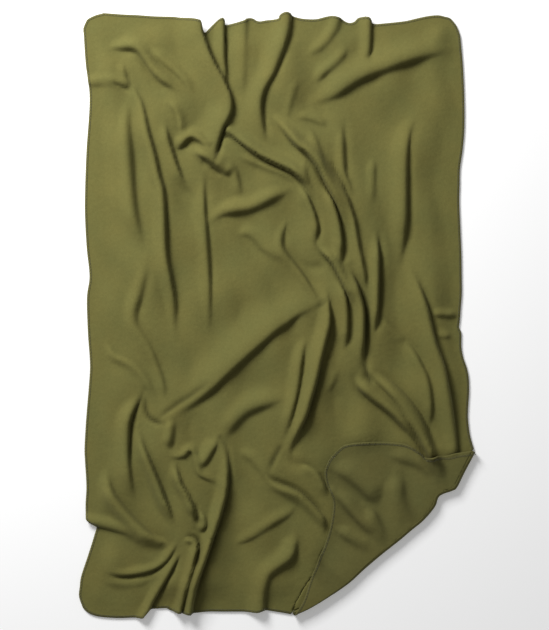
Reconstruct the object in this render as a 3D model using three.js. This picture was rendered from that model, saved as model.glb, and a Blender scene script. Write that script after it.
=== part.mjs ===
// Camp blanket: one fleece panel with an overlocked rim, lying wrinkled on the ground,
// with its lower right corner turned back over the top.
// The cloth is split at the turned-back fold, so that the corner can be opened about it.
// Millimetres, +Z up, seen from above with the blanket's head end towards +Y.
import * as THREE from 'three';

// ---------- driving dimensions ----------
const spreadWidth = 1135;         // the wrinkled blanket from left to right
const spreadLength = 1735;        // and from foot to head
const fleeceThickness = 3;
const rimWidth = 8;               // depth of cloth that the overlock stitch takes in
const threadThickness = 0.8;
const needleLineWidth = 1.2;
const clearance = 0.4;            // between thread and cloth
const seamGap = 1.5;              // between the panel and the turned corner at the fold
const cornerReachUp = 475;        // the fold's upper end, above the foot edge
const cornerReachAcross = 519;    // the fold's lower end, in from the right edge
const foldLowerRise = 9;          // and above the foot edge's lowest point
const rollRadius = 11;            // outside radius of the cloth where it turns over
const flapSettle = 130;           // the corner comes down to flapRest within this distance
const headCornerInset = 22;       // middle of each rounded corner, in from the spread's edges
const headRightInset = 58;
const headRightDrop = 31;
const footCornerInset = 11;
const footCornerRise = 29;
const flapCornerBack = 411;       // turned corner's tip: back from the fold's upper end
const flapCornerDrop = 12;        // and below it
const flapClear = 36;             // cloth lies flat this far around the turned corner
const flapFade = 40;              // and the wrinkles rise again within this further distance
const foldScale = 1;              // height of all the wrinkles

// The turned corner's underside lies above the ground by the panel, its own threads and their gaps.
const flapRest = fleeceThickness + threadThickness + 3 * clearance;

// ---------- mesh steps ----------
const acrossSteps = 24;
const rightSteps = 24;
const foldSteps = 18;
const alongSteps = rightSteps + foldSteps;
const flapRows = 5;
const rollAngles = [15, 50, 90, 130, 160, 180];

// ---------- colours ----------
const olive = { color: 0x7a7544, roughness: 0.95, metalness: 0 };
const darkOlive = { color: 0x5f5e38, roughness: 0.8, metalness: 0 };

// ---------- wavy edges: [share of the way along, bulge outwards in mm] ----------
const leftWaves = [
  [0.02, 11], [0.054, 5], [0.14, -38], [0.158, -7], [0.25, -3], [0.32, -6], [0.415, -16],
  [0.527, -6], [0.564, -13], [0.665, 1], [0.778, -2], [0.867, -10], [0.926, 2], [0.985, 9],
];
const headWaves = [
  [0.025, 15], [0.048, 21], [0.139, 16], [0.233, 12], [0.307, -3], [0.319, -33], [0.352, -1],
  [0.37, 6], [0.376, -11], [0.423, 1], [0.442, 10], [0.471, 1], [0.518, 7], [0.537, 26],
  [0.584, 10], [0.622, 9], [0.665, 18], [0.714, -1], [0.746, 15], [0.776, -2], [0.841, 2],
  [0.898, 13], [0.954, 23], [0.988, 14],
];
const rightWaves = [
  [0.02, 11], [0.053, 15], [0.126, 18], [0.216, 15], [0.297, 5], [0.378, -8], [0.501, -12],
  [0.631, -17], [0.708, -29], [0.753, -25], [0.827, -8], [0.9, -14], [0.957, -12],
];
const foldWaves = [
  [0.086, 22], [0.152, 40], [0.229, 25], [0.345, 46], [0.472, 43], [0.657, 37],
  [0.838, 29], [0.928, 17],
];
const footWaves = [
  [0.028, -2], [0.152, -11], [0.185, -5], [0.326, -2], [0.474, 5], [0.557, 2], [0.602, -7],
  [0.684, -2], [0.714, 18], [0.772, 24], [0.871, 26], [0.954, 20],
];
const flapLeftWaves = [
  [0.098, -16], [0.222, -22], [0.346, -28], [0.461, -39], [0.572, -42], [0.701, -37],
  [0.771, -24], [0.827, -4], [0.897, 9], [0.964, 6],
];
const flapTopWaves = [
  [0.061, 23], [0.11, 33], [0.207, 36], [0.353, 36], [0.474, 31], [0.572, 17],
  [0.669, -13], [0.754, -9], [0.876, -5],
];

// ---------- main wrinkles: height and half width in mm, and a path ----------
// The path's points are shares of half the spread width and half the spread length.
const wrinkles = [
  { height: 38, half: 52, path: [[-0.07, 0.72], [0.07, 0.67], [0.21, 0.58], [0.33, 0.42], [0.39, 0.23]] },
  { height: 30, half: 45, path: [[-0.25, 0.66], [-0.3, 0.53], [-0.35, 0.46]] },
  { height: 44, half: 48, path: [[0.38, 0.28], [0.42, 0.09], [0.42, -0.16]] },
  { height: 36, half: 45, path: [[0.65, 0.2], [0.76, 0], [0.84, -0.2], [0.86, -0.3]] },
  { height: 40, half: 45, path: [[-0.28, -0.5], [-0.27, -0.6], [-0.35, -0.81], [-0.42, -0.95]] },
  { height: 32, half: 42, path: [[0.14, -0.21], [0.06, -0.38], [-0.02, -0.49]] },
  { height: 20, half: 45, path: [[-0.86, -0.09], [-0.74, -0.15], [-0.62, -0.27]] },
  { height: 26, half: 48, path: [[-0.58, -0.32], [-0.35, -0.22], [0, -0.05], [0.23, 0.02]] },
  { height: 24, half: 45, path: [[-0.76, 0.75], [-0.69, 0.6], [-0.62, 0.35], [-0.58, 0.06]] },
  { height: 20, half: 45, path: [[-0.39, 0.54], [-0.38, 0.23], [-0.37, 0]] },
  { height: 20, half: 48, path: [[-0.83, -0.52], [-0.74, -0.65], [-0.58, -0.75]] },
  { height: 16, half: 40, path: [[-0.85, -0.85], [-0.7, -0.86], [-0.58, -0.83]] },
  { height: 24, half: 50, path: [[0.26, 0.69], [0.53, 0.77], [0.79, 0.88]] },
  { height: 28, half: 45, path: [[0.53, -0.21], [0.68, -0.33]] },
  { height: 26, half: 42, path: [[0.03, 0.97], [0, 0.88], [-0.08, 0.72]] },
  { height: 22, half: 40, path: [[-0.27, 0.97], [-0.3, 0.81], [-0.25, 0.67]] },
];

// ---------- places of the spread's corners ----------
const right = spreadWidth / 2;
const head = spreadLength / 2;
const headLeft = new THREE.Vector2(-right + headCornerInset, head - headCornerInset);
const headRight = new THREE.Vector2(right - headRightInset, head - headRightDrop);
const footLeft = new THREE.Vector2(-right + footCornerInset, -head + footCornerRise);
const foldUpperEnd = new THREE.Vector2(right, -head + cornerReachUp);
const foldLowerEnd = new THREE.Vector2(right - cornerReachAcross, -head + foldLowerRise);
const flapCorner = new THREE.Vector2(foldUpperEnd.x - flapCornerBack, foldUpperEnd.y - flapCornerDrop);

// Unit vector to the left of the way from a to b.
function leftOf(a, b) {
  return new THREE.Vector2(a.y - b.y, b.x - a.x).normalize();
}

// Evenly spaced points of a wavy edge from start to end; the waves bulge to its left.
function wavyEdge(start, end, waves, steps) {
  const outwards = leftOf(start, end);
  const points = waves.map(([share, bulge]) =>
    start.clone().lerp(end, share).addScaledVector(outwards, bulge));
  return new THREE.SplineCurve([start, ...points, end]).getSpacedPoints(steps);
}

// The same points moved to the right of their line by a distance.
function movedInwards(points, distance) {
  return points.map((point, i) => {
    const before = points[Math.max(i - 1, 0)];
    const after = points[Math.min(i + 1, points.length - 1)];
    return point.clone().addScaledVector(leftOf(before, after), -distance);
  });
}

// The turned corner seen from above, where the panel below it lies flat.
const flatArea = new THREE.Triangle(
  ...[foldUpperEnd, flapCorner, foldLowerEnd].map(({ x, y }) => new THREE.Vector3(x, y, 0)));

// Height of the wrinkles above the ground at (x, y). They fade out under the turned corner.
function wrinkleHeight(x, y) {
  const place = new THREE.Vector3(x, y, 0);
  const nearest = new THREE.Vector3();
  const toCorner = flatArea.closestPointToPoint(place, nearest).distanceTo(place);
  const rise = THREE.MathUtils.smoothstep(toCorner, flapClear, flapClear + flapFade);
  let highest = 0;
  for (const { height, half, path } of wrinkles) {
    const points = path.map(([across, along]) => new THREE.Vector3(across * right, along * head, 0));
    for (let i = 1; i < points.length; i += 1) {
      new THREE.Line3(points[i - 1], points[i]).closestPointToPoint(place, true, nearest);
      const share = Math.min(nearest.distanceTo(place) / half, 1);
      highest = Math.max(highest, foldScale * rise * height * (1 - share ** 2) ** 2);
    }
  }
  return highest;
}

// A closed mesh from points and triangles.
function solid(name, points, triangles, finish) {
  const geometry = new THREE.BufferGeometry();
  geometry.setAttribute('position', new THREE.Float32BufferAttribute(points.flatMap((p) => p.toArray()), 3));
  geometry.setIndex(triangles.flat());
  geometry.computeVertexNormals();
  const mesh = new THREE.Mesh(geometry, new THREE.MeshStandardMaterial(finish));
  mesh.name = name;
  return mesh;
}

// Two triangles for the quad a, b, c, d, split along a-c.
function quad(a, b, c, d) {
  return [[a, b, c], [a, c, d]];
}

// A closed solid swept along equal closed sections, capped at both ends.
function swept(name, sections, finish) {
  const sides = sections[0].length;
  const triangles = [];
  for (let k = 0; k + 1 < sections.length; k += 1) {
    for (let s = 0; s < sides; s += 1) {
      const next = (s + 1) % sides;
      const here = k * sides;
      triangles.push(...quad(here + s, here + next, here + sides + next, here + sides + s));
    }
  }
  const last = (sections.length - 1) * sides;
  for (let s = 1; s + 1 < sides; s += 1) {
    triangles.push([0, s + 1, s], [last, last + s, last + s + 1]);
  }
  return solid(name, sections.flat(), triangles, finish);
}

// A flat thread ribbon over the rim, between two shares of the way from the edge to the rim's
// inner line, with its lower face at a height above the cloth's middle at each stitch.
function threadRibbon(name, edge, inner, middles, from, to, offset, finish) {
  const sections = edge.map((point, k) => {
    const outer = point.clone().lerp(inner[k], from);
    const inside = point.clone().lerp(inner[k], to);
    const low = middles[k] + offset;
    return [
      new THREE.Vector3(outer.x, outer.y, low),
      new THREE.Vector3(outer.x, outer.y, low + threadThickness),
      new THREE.Vector3(inside.x, inside.y, low + threadThickness),
      new THREE.Vector3(inside.x, inside.y, low),
    ];
  });
  return swept(name, sections, finish);
}

// The three overlock threads of a rim: a needle line, and a looper over each face.
function overlock(prefix, edge, inner, middles, upperIsUp) {
  const needleStart = 1 - 2 * needleLineWidth / rimWidth;
  const needleEnd = 1 - needleLineWidth / rimWidth;
  const looperEnd = needleStart - clearance / rimWidth;
  const looperStart = clearance / rimWidth;
  const above = fleeceThickness / 2 + clearance;
  const below = -above - threadThickness;
  const upper = upperIsUp ? above : below;
  const lower = upperIsUp ? below : above;
  return [
    threadRibbon(`${prefix}needle_thread`, edge, inner, middles, needleStart, needleEnd, upper, darkOlive),
    threadRibbon(`${prefix}upper_looper_thread`, edge, inner, middles, looperStart, looperEnd, upper, darkOlive),
    threadRibbon(`${prefix}lower_looper_thread`, edge, inner, middles, looperStart, looperEnd, lower, darkOlive),
  ];
}

// ---------- the fold's outline, seen from above, from its upper end to its lower end ----------
const foldOutline = wavyEdge(foldUpperEnd, foldLowerEnd, foldWaves, foldSteps);

// The large panel, from the left edge round to the turned-back fold, and its threads.
function panelPieces() {
  const foldEdge = movedInwards(foldOutline, rollRadius + seamGap);
  const foldTop = foldEdge[0];
  const foldBottom = foldEdge[foldSteps];
  const leftEdge = wavyEdge(footLeft, headLeft, leftWaves, alongSteps);
  const headEdge = wavyEdge(headLeft, headRight, headWaves, acrossSteps);
  const rightEdge = wavyEdge(headRight, foldTop, rightWaves, rightSteps);
  const footEdge = wavyEdge(foldBottom, footLeft, footWaves, acrossSteps);

  // The outline runs clockwise from the foot's left corner; each corner appears once.
  const outline = [leftEdge, headEdge, rightEdge, foldEdge, footEdge].flatMap((edge) => edge.slice(0, -1));
  const count = outline.length;
  const rim = outline.map((point, k) => {
    const inwards = leftOf(outline[(k + count - 1) % count], outline[(k + 1) % count]).negate();
    return point.clone().addScaledVector(inwards, rimWidth);
  });
  const rimAt = (k) => rim[(k + count) % count];

  // Rows and columns between the rim's four sides; the fold is the lower part of the right side.
  const points = [];
  const columns = acrossSteps + 1;
  for (let j = 0; j <= alongSteps; j += 1) {
    for (let i = 0; i <= acrossSteps; i += 1) {
      const u = i / acrossSteps;
      const v = j / alongSteps;
      const left = rimAt(j);
      const rightSide = rimAt(2 * alongSteps + acrossSteps - j);
      const top = rimAt(alongSteps + i);
      const bottom = rimAt(-i);
      const lowerCorners = rimAt(0).clone().lerp(rimAt(-acrossSteps), u);
      const upperCorners = rimAt(alongSteps).clone().lerp(rimAt(alongSteps + acrossSteps), u);
      const point = left.clone().lerp(rightSide, u)
        .add(bottom.clone().lerp(top, v))
        .sub(lowerCorners.lerp(upperCorners, v));
      points.push(new THREE.Vector3(point.x, point.y, wrinkleHeight(point.x, point.y)));
    }
  }
  const triangles = [];
  for (let j = 0; j < alongSteps; j += 1) {
    for (let i = 0; i < acrossSteps; i += 1) {
      const a = j * columns + i;
      const lowerLeft = i < acrossSteps / 2 === j < alongSteps / 2;
      const corners = [a, a + 1, a + 1 + columns, a + columns];
      const turned = lowerLeft ? corners : [corners[1], corners[2], corners[3], corners[0]];
      triangles.push(...quad(...turned));
    }
  }

  // Where the rim's points sit in the grid, clockwise, then the outline's own points.
  const gridIndex = [];
  for (let j = 0; j < alongSteps; j += 1) gridIndex.push(j * columns);
  for (let i = 0; i < acrossSteps; i += 1) gridIndex.push(alongSteps * columns + i);
  for (let j = alongSteps; j > 0; j -= 1) gridIndex.push(j * columns + acrossSteps);
  for (let i = acrossSteps; i > 0; i -= 1) gridIndex.push(i);
  const hemLift = clearance + threadThickness;
  const foldFrom = alongSteps + acrossSteps + rightSteps;
  const isFold = (k) => k >= foldFrom && k <= foldFrom + foldSteps;
  outline.forEach((point, k) => {
    const rimPoint = points[gridIndex[k]];
    rimPoint.z += isFold(k) ? 0 : hemLift;
    points.push(new THREE.Vector3(point.x, point.y, rimPoint.z));
  });
  const outer = (k) => (alongSteps + 1) * columns + ((k + count) % count);
  for (let k = 0; k < count; k += 1) {
    triangles.push(...quad(outer(k), gridIndex[k], gridIndex[(k + 1) % count], outer(k + 1)));
  }

  // The upper face, the lower face, and the cut edge between them.
  const lift = new THREE.Vector3(0, 0, fleeceThickness);
  const upper = points.map((point) => point.clone().add(lift));
  const under = (index) => index + points.length;
  const faces = [
    ...triangles,
    ...triangles.map(([a, b, c]) => [under(c), under(b), under(a)]),
  ];
  for (let k = 0; k < count; k += 1) {
    faces.push(...quad(outer(k), outer(k + 1), under(outer(k + 1)), under(outer(k))));
  }
  const panel = solid('fleece_panel', [...upper, ...points], faces, olive);

  // The threads start and stop one step short of the fold.
  const hem = [];
  for (let k = foldFrom + foldSteps + 1; k < foldFrom + count; k += 1) hem.push(k % count);
  const middles = hem.map((k) => points[outer(k)].z + fleeceThickness / 2);
  const threads = overlock('', hem.map((k) => outline[k]), hem.map((k) => rim[k]), middles, true);
  return [panel, ...threads];
}

// The corner that is turned back: the cloth's half turn at the fold, then the flap up to its hem.
function cornerPieces() {
  const centres = movedInwards(foldOutline, rollRadius);
  const leftHem = wavyEdge(foldLowerEnd, flapCorner, flapLeftWaves, foldSteps);
  const topHem = wavyEdge(flapCorner, foldUpperEnd, flapTopWaves, foldSteps);
  const wholeHem = new THREE.SplineCurve([...leftHem, ...topHem.slice(1)]);
  const tipShare = 2 * rollRadius / wholeHem.getLength();
  const hem = [];
  for (let k = 0; k <= foldSteps; k += 1) {
    const share = tipShare + (1 - 2 * tipShare) * (1 - k / foldSteps);
    hem.push(wholeHem.getPointAt(share));
  }
  const inner = movedInwards([...hem].reverse(), rimWidth).reverse();

  const rollTop = 2 * rollRadius;
  const settled = flapRest + fleeceThickness;
  const upperFace = [];
  const lowerFace = [];
  const hemMiddles = [];
  for (let k = 0; k <= foldSteps; k += 1) {
    const centre = centres[k];
    const outwards = foldOutline[k].clone().sub(centre).normalize();
    const row = (list, radius) => rollAngles.forEach((degrees) => {
      const angle = THREE.MathUtils.degToRad(degrees);
      const place = centre.clone().addScaledVector(outwards, radius * Math.sin(angle));
      list.push(new THREE.Vector3(place.x, place.y, rollRadius - radius * Math.cos(angle)));
    });
    row(upperFace, rollRadius);
    row(lowerFace, rollRadius - fleeceThickness);
    const heightAt = (point) => {
      const share = THREE.MathUtils.smoothstep(point.distanceTo(centre), 0, flapSettle);
      return THREE.MathUtils.lerp(rollTop, settled, share);
    };
    const across = [];
    for (let r = 1; r <= flapRows; r += 1) across.push(centre.clone().lerp(inner[k], r / flapRows));
    const rimHeight = heightAt(inner[k]);
    hemMiddles.push(rimHeight - fleeceThickness / 2);
    across.push(hem[k]);
    across.forEach((point, r) => {
      const z = r + 1 < flapRows ? heightAt(point) : rimHeight;
      upperFace.push(new THREE.Vector3(point.x, point.y, z));
      lowerFace.push(new THREE.Vector3(point.x, point.y, z - fleeceThickness));
    });
  }

  // Each section runs out along the upper face and back along the lower face.
  const rows = upperFace.length / (foldSteps + 1);
  const grid = (k, r) => k * rows + r;
  const below = (index) => index + upperFace.length;
  const faces = [];
  for (let k = 0; k < foldSteps; k += 1) {
    for (let r = 0; r + 1 < rows; r += 1) {
      const [a, b, c, d] = [grid(k, r), grid(k, r + 1), grid(k + 1, r + 1), grid(k + 1, r)];
      faces.push(...quad(d, c, b, a), ...quad(below(a), below(b), below(c), below(d)));
    }
    const ends = [grid(k, 0), grid(k + 1, 0), grid(k, rows - 1), grid(k + 1, rows - 1)];
    faces.push(...quad(ends[0], below(ends[0]), below(ends[1]), ends[1]));
    faces.push(...quad(ends[3], below(ends[3]), below(ends[2]), ends[2]));
  }
  for (let r = 0; r + 1 < rows; r += 1) {
    const near = [grid(0, r), grid(0, r + 1)];
    const far = [grid(foldSteps, r), grid(foldSteps, r + 1)];
    faces.push(...quad(near[0], near[1], below(near[1]), below(near[0])));
    faces.push(...quad(far[1], far[0], below(far[0]), below(far[1])));
  }
  const corner = solid('turned_corner', [...upperFace, ...lowerFace], faces.map(([a, b, c]) => [a, c, b]), olive);

  // The cloth is upside down here, so its lower looper shows on top.
  const stitched = (list) => [...list].slice(1, -1).reverse();
  const threads = overlock('corner_', stitched(hem), stitched(inner), stitched(hemMiddles), false);
  return [corner, ...threads];
}

// ---------- the two bodies, centred on the ground ----------
const blanket = new THREE.Group();
const panelBody = new THREE.Group();
const cornerBody = new THREE.Group();
panelBody.add(...panelPieces());
cornerBody.add(...cornerPieces());
blanket.add(panelBody, cornerBody);
blanket.updateMatrixWorld(true);
const extent = new THREE.Box3().setFromObject(blanket);
const middle = extent.getCenter(new THREE.Vector3());
blanket.position.set(-middle.x, -middle.y, -extent.min.z);

export default blanket;
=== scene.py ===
# %% [markdown]
# # A camp blanket, spread on the ground with one corner turned back
# The real thing is one rectangle of fleece, about 1.27 m wide and 1.78 m long, with rounded corners and
# an overlocked edge. It has been laid down by hand, so it is full of folds, and its near right corner is
# turned over on to the top. This file builds it in small steps, from the fixed CAD frame to the last
# stitch of thread. Every length in the tables is in centimetres or millimetres, and Blender gets metres.

# %% Load the frame
import math
import bmesh
import bpy
import numpy as np
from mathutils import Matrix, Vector


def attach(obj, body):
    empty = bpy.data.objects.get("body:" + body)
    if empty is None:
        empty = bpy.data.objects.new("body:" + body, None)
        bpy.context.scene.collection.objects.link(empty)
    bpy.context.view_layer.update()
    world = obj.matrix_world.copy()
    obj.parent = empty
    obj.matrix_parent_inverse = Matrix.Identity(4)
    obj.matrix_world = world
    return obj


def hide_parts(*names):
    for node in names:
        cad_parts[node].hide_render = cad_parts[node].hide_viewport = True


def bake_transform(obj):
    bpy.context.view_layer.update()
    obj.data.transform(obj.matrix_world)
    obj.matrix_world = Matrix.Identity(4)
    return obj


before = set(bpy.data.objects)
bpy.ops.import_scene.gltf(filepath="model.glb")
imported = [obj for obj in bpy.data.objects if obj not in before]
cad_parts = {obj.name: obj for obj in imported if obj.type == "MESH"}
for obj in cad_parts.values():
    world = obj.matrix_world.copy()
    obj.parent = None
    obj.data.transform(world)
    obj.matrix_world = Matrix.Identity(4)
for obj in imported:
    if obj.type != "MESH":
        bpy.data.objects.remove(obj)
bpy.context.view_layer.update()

# %% [markdown]
# ## Sizes
# A maker would note these on a card before cutting. The fleece is 3 mm thick. The turned corner does not
# crease flat: fleece is springy, so the fold is a soft roll about 22 mm high.

# %% Sizes
CM = 0.01
MM = 0.001
FLEECE = 3 * MM
ROLL_RADIUS = 9.5 * MM
HEM_LIFT = 0.9 * MM
GRID_COLUMNS = 172
GRID_ROWS = 268

# %% [markdown]
# ## A clean start for every piece
# Operators act on whatever is selected, and loading the frame leaves its parts selected. These helpers
# clear the selection first, and give a finished piece its name and its smooth shading.

# %% Small helpers
def deselect_all():
    for item in bpy.context.selected_objects:
        item.select_set(False)


def select_only(piece):
    deselect_all()
    piece.select_set(True)
    bpy.context.view_layer.objects.active = piece


def finish_mesh(piece, name):
    piece.name = name
    piece.data.name = name
    select_only(piece)
    bpy.ops.object.shade_smooth()
    deselect_all()
    return piece


def smoothstep(x, low, high):
    t = np.clip((x - low) / (high - low), 0.0, 1.0)
    return t * t * (3.0 - 2.0 * t)


print("helpers ready")

# %% [markdown]
# ## The outline
# A spread blanket is never a true rectangle. Each edge is a straight run between two corners with a list
# of bulges: how far along the run, and how many millimetres outwards. A smooth curve is passed through
# them. The turned corner adds a slanting fold from the right edge to the near edge.

# %% Corners and edge bulges
HEAD_LEFT = (-545.5, 845.5)
HEAD_RIGHT = (509.5, 836.5)
FOOT_LEFT = (-556.5, -838.5)
FOLD_UPPER = (567.5, -392.5)
FOLD_LOWER = (48.5, -858.5)
FLAP_CORNER = (156.5, -404.5)

LEFT_WAVES = [
    (.019, 11), (.036, 9), (.054, 5), (.089, -14), (.122, -31), (.140, -38), (.1445, -21), (.150, -11),
    (.158, -7), (.177, -6), (.208, -8), (.250, -3.5), (.272, -2), (.32, -6), (.38, -13.5), (.415, -16),
    (.468, -9.5), (.527, -6), (.564, -13), (.612, -4.5), (.665, 1), (.707, 1.5), (.778, -2),
    (.867, -10), (.926, 2), (.974, 8), (.986, 9.4)]
TOP_WAVES = [
    (.006, 5.5), (.025, 15), (.044, 20), (.048, 21), (.091, 18), (.139, 16), (.186, 13), (.233, 12),
    (.252, 9), (.281, 5), (.300, .5), (.307, -3.5), (.319, -33), (.338, -15), (.352, -1), (.363, 7.5),
    (.370, 6), (.373, 1), (.376, -10.8), (.395, -6.5), (.423, 1), (.433, 8), (.442, 10.5), (.452, 9),
    (.461, 3), (.471, 1), (.490, 4.5), (.518, 7.5), (.521, 16), (.528, 22.7), (.537, 26), (.543, 25),
    (.556, 19), (.565, 15), (.584, 10), (.603, 8.5), (.622, 8.7), (.637, 12), (.651, 16), (.665, 18),
    (.679, 15), (.689, 11.5), (.703, 2.5), (.714, -1.4), (.727, 2), (.736, 12), (.746, 15), (.760, 14),
    (.769, 6), (.776, -2), (.788, -3.6), (.812, -1.4), (.841, 2), (.869, 6), (.898, 13.5), (.926, 20),
    (.954, 23), (.973, 19), (.988, 14.4)]
RIGHT_WAVES = [
    (.006, 4.6), (.020, 10.8), (.032, 14), (.053, 15), (.085, 17), (.126, 17.7), (.167, 17.3),
    (.216, 15.5), (.256, 12), (.297, 5), (.338, -4.6), (.378, -8), (.411, -11), (.444, -11.7),
    (.501, -12), (.541, -12.4), (.598, -14.7), (.631, -16.6), (.664, -21.5), (.696, -26.4),
    (.708, -29), (.722, -23), (.753, -24.7), (.778, -21), (.802, -12.5), (.827, -8), (.859, -8.8),
    (.900, -14.2), (.924, -15.6), (.957, -12.5), (.980, -6.8)]
FOLD_WAVES = [
    (.086, 22), (.152, 40), (.176, 38), (.229, 25), (.273, 39), (.345, 46), (.415, 44), (.472, 43),
    (.562, 39), (.657, 37), (.744, 37.5), (.838, 29), (.928, 17)]
NEAR_WAVES = [
    (.021, 12), (.046, 19.6), (.079, 24), (.129, 26), (.179, 26), (.228, 24), (.273, 22), (.286, 17.6),
    (.302, 5.3), (.316, -2), (.360, -5), (.398, -6.7), (.410, -2), (.443, 2.4), (.476, 4.7),
    (.526, 4.7), (.592, -.6), (.674, -2.3), (.757, -4), (.815, -5), (.848, -11), (.889, -8.7),
    (.922, -6.4), (.972, -2.4)]
FLAP_TOP_WAVES = [
    (.051, -2.4), (.124, -5.5), (.185, -11), (.246, -9), (.331, -13), (.38, 2.6), (.428, 17),
    (.477, 27), (.526, 31), (.647, 36), (.793, 36.5), (.89, 32.7), (.939, 23)]
FLAP_LEFT_WAVES = [
    (.036, 6.3), (.103, 9.1), (.173, -3.8), (.229, -24.4), (.299, -37), (.428, -42), (.539, -39),
    (.654, -28.5), (.778, -21.7), (.902, -16)]
print("bulges:", sum(len(w) for w in (LEFT_WAVES, TOP_WAVES, RIGHT_WAVES, FOLD_WAVES, NEAR_WAVES)))


# %% [markdown]
# ## Curves for the folds
# A fold in cloth never has a corner along its length, so each one is described by a few points and
# this curve is drawn through them. The same helper serves the folds, the creases and the valleys,
# which keeps their tables short: only the points and a few sizes are written down.

# %% Smooth curves through points
EDGE_STEP = 2.0


def smooth_curve(points, step):
    """A Catmull-Rom curve through the points, with a point about every step."""
    p = np.asarray(points, float)
    p = np.vstack([2 * p[0] - p[1], p, 2 * p[-1] - p[-2]])
    out = []
    for a, b, c, d in zip(p[:-3], p[1:-2], p[2:-1], p[3:]):
        count = max(2, int(np.ceil(np.linalg.norm((c - b)[:2]) / step)))
        t = np.arange(count)[:, None] / count
        out.append(0.5 * (2 * b + (c - a) * t + (2 * a - 5 * b + 4 * c - d) * t ** 2
                          + (3 * b - a - 3 * c + d) * t ** 3))
    out.append(p[-2][None, :])
    return np.vstack(out)


def even_points(curve, count):
    """The same curve with count points, evenly spaced along it."""
    lengths = np.concatenate([[0], np.cumsum(np.linalg.norm(np.diff(curve, axis=0), axis=1))])
    at = np.linspace(0, lengths[-1], count)
    return np.column_stack([np.interp(at, lengths, curve[:, i]) for i in range(curve.shape[1])])


def edge(start, end, waves, outwards):
    """One edge of the outline, in metres. outwards is +1 when the bulges go to the left of the run."""
    a, b = np.array(start, float), np.array(end, float)
    run = b - a
    side = outwards * np.array([-run[1], run[0]]) / np.linalg.norm(run)
    points = [a] + [a + share * run + bulge * side for share, bulge in waves] + [b]
    return smooth_curve(points, EDGE_STEP) * MM


left_edge = edge(FOOT_LEFT, HEAD_LEFT, LEFT_WAVES, 1)
top_edge = edge(HEAD_LEFT, HEAD_RIGHT, TOP_WAVES, 1)
right_edge = edge(HEAD_RIGHT, FOLD_UPPER, RIGHT_WAVES, 1)
fold_edge = edge(FOLD_UPPER, FOLD_LOWER, FOLD_WAVES, 1)
near_edge = edge(FOOT_LEFT, FOLD_LOWER, NEAR_WAVES, -1)
flap_top_edge = edge(FOLD_UPPER, FLAP_CORNER, FLAP_TOP_WAVES, -1)
flap_left_edge = edge(FLAP_CORNER, FOLD_LOWER, FLAP_LEFT_WAVES, -1)
print("fold is", round(100 * np.linalg.norm(np.diff(fold_edge, axis=0), axis=1).sum()), "cm long")

# %% [markdown]
# ## The folds
# Cloth on the ground makes folds of one kind: it climbs gently to a crest and then drops steeply, often
# leaning over. So each fold is a line in centimetres along its steep side, with a height, a gentle width, a
# steep width, a lean, and which hand the drop is on. Drawing folds as strokes keeps every one of them
# where it belongs, and the strokes are melted together afterwards.
#
# The first ones are the long folds that run down the left side from the head.

# %% Folds of the upper left
LEFT, RIGHT = -1.0, 1.0
# height mm, gentle mm, steep mm, lean, drop side, (start, end) strength, path in cm
PANEL_FOLDS = [
    (15, 14, 9, .2, RIGHT, (0, 0), [(-50, 75.3), (-45, 75.6), (-41, 75.3), (-38.5, 72.5), (-36.5, 69.5),
        (-33.5, 66.5), (-29.5, 63.5), (-27.5, 60)]),
    (11, 10, 8, .2, RIGHT, (0, 0), [(-38.5, 77.5), (-36, 74.5), (-33, 71.5), (-29.5, 68.5), (-26.5, 65),
        (-25, 60.5)]),
    (7, 12, 11, .2, RIGHT, (.6, 0), [(-55, 65.2), (-50, 65.3), (-46, 64.9), (-42.5, 63.5)]),
    (6, 12, 6, .3, RIGHT, (0, .2), [(-51, 68.5), (-47, 66.3), (-44, 65.2), (-41.8, 63.8)]),
    (7, 8, 5, .3, LEFT, (0, .2), [(-44, 73), (-43.3, 69.5), (-42.5, 67), (-41.6, 64.3)]),
    (19, 12, 9, .25, LEFT, (.1, 0), [(-41.7, 73), (-40.7, 66), (-38.5, 61), (-37.5, 57), (-36.5, 52),
        (-34.8, 46), (-33.5, 40), (-32.3, 36), (-31.8, 30), (-31.5, 20), (-31, 15), (-30, 10), (-29, 4),
        (-28.5, -5), (-27, -11)]),
    (15, 14, 13, .2, LEFT, (0, 0), [(-41.5, 63), (-42, 55), (-41.5, 48), (-41, 40), (-40.2, 31),
        (-39.2, 26), (-37.8, 21), (-36.7, 16)]),
    (9, 13, 11, .2, LEFT, (0, 0), [(-37, 18), (-36.8, 13), (-37.5, 9), (-38.5, 5), (-39.8, 1),
        (-39.8, -2.5), (-37.5, -6), (-35.5, -10), (-33.5, -14.5), (-33, -17)]),
    (9, 9, 7, .2, LEFT, (0, 0), [(-38, -5.5), (-36, -9), (-34.3, -13), (-32.5, -18), (-31.5, -22),
        (-31.4, -26)]),
    (12, 9, 6, .2, RIGHT, (0, 0), [(-33, 60.5), (-31, 59.5), (-29.3, 57), (-28.6, 53.5), (-28.8, 50.5)]),
    (12, 11, 7, .3, LEFT, (0, 0), [(-31.7, 57), (-31.2, 52), (-30.5, 49), (-29.5, 46), (-28.5, 43),
        (-27.3, 40), (-25.5, 37.7), (-23, 37.2)]),
    (13, 10, 8, .3, RIGHT, (0, 0), [(-29.5, 46), (-27.2, 48), (-24.6, 50.3), (-21.5, 48.5), (-18, 45.5)]),
    (19, 12, 13, .3, RIGHT, (0, .7), [(-25, 46.3), (-22, 45), (-19.5, 43.3), (-17.5, 41.8),
        (-15.3, 40.1)]),
]
print("folds so far:", len(PANEL_FOLDS))

# %% [markdown]
# ## Folds at the head
# At the head the cloth has been pushed together, so a strip of it laps over its neighbour and several
# folds run straight in from the hem. A fold that reaches the hem keeps its full strength there.

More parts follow.
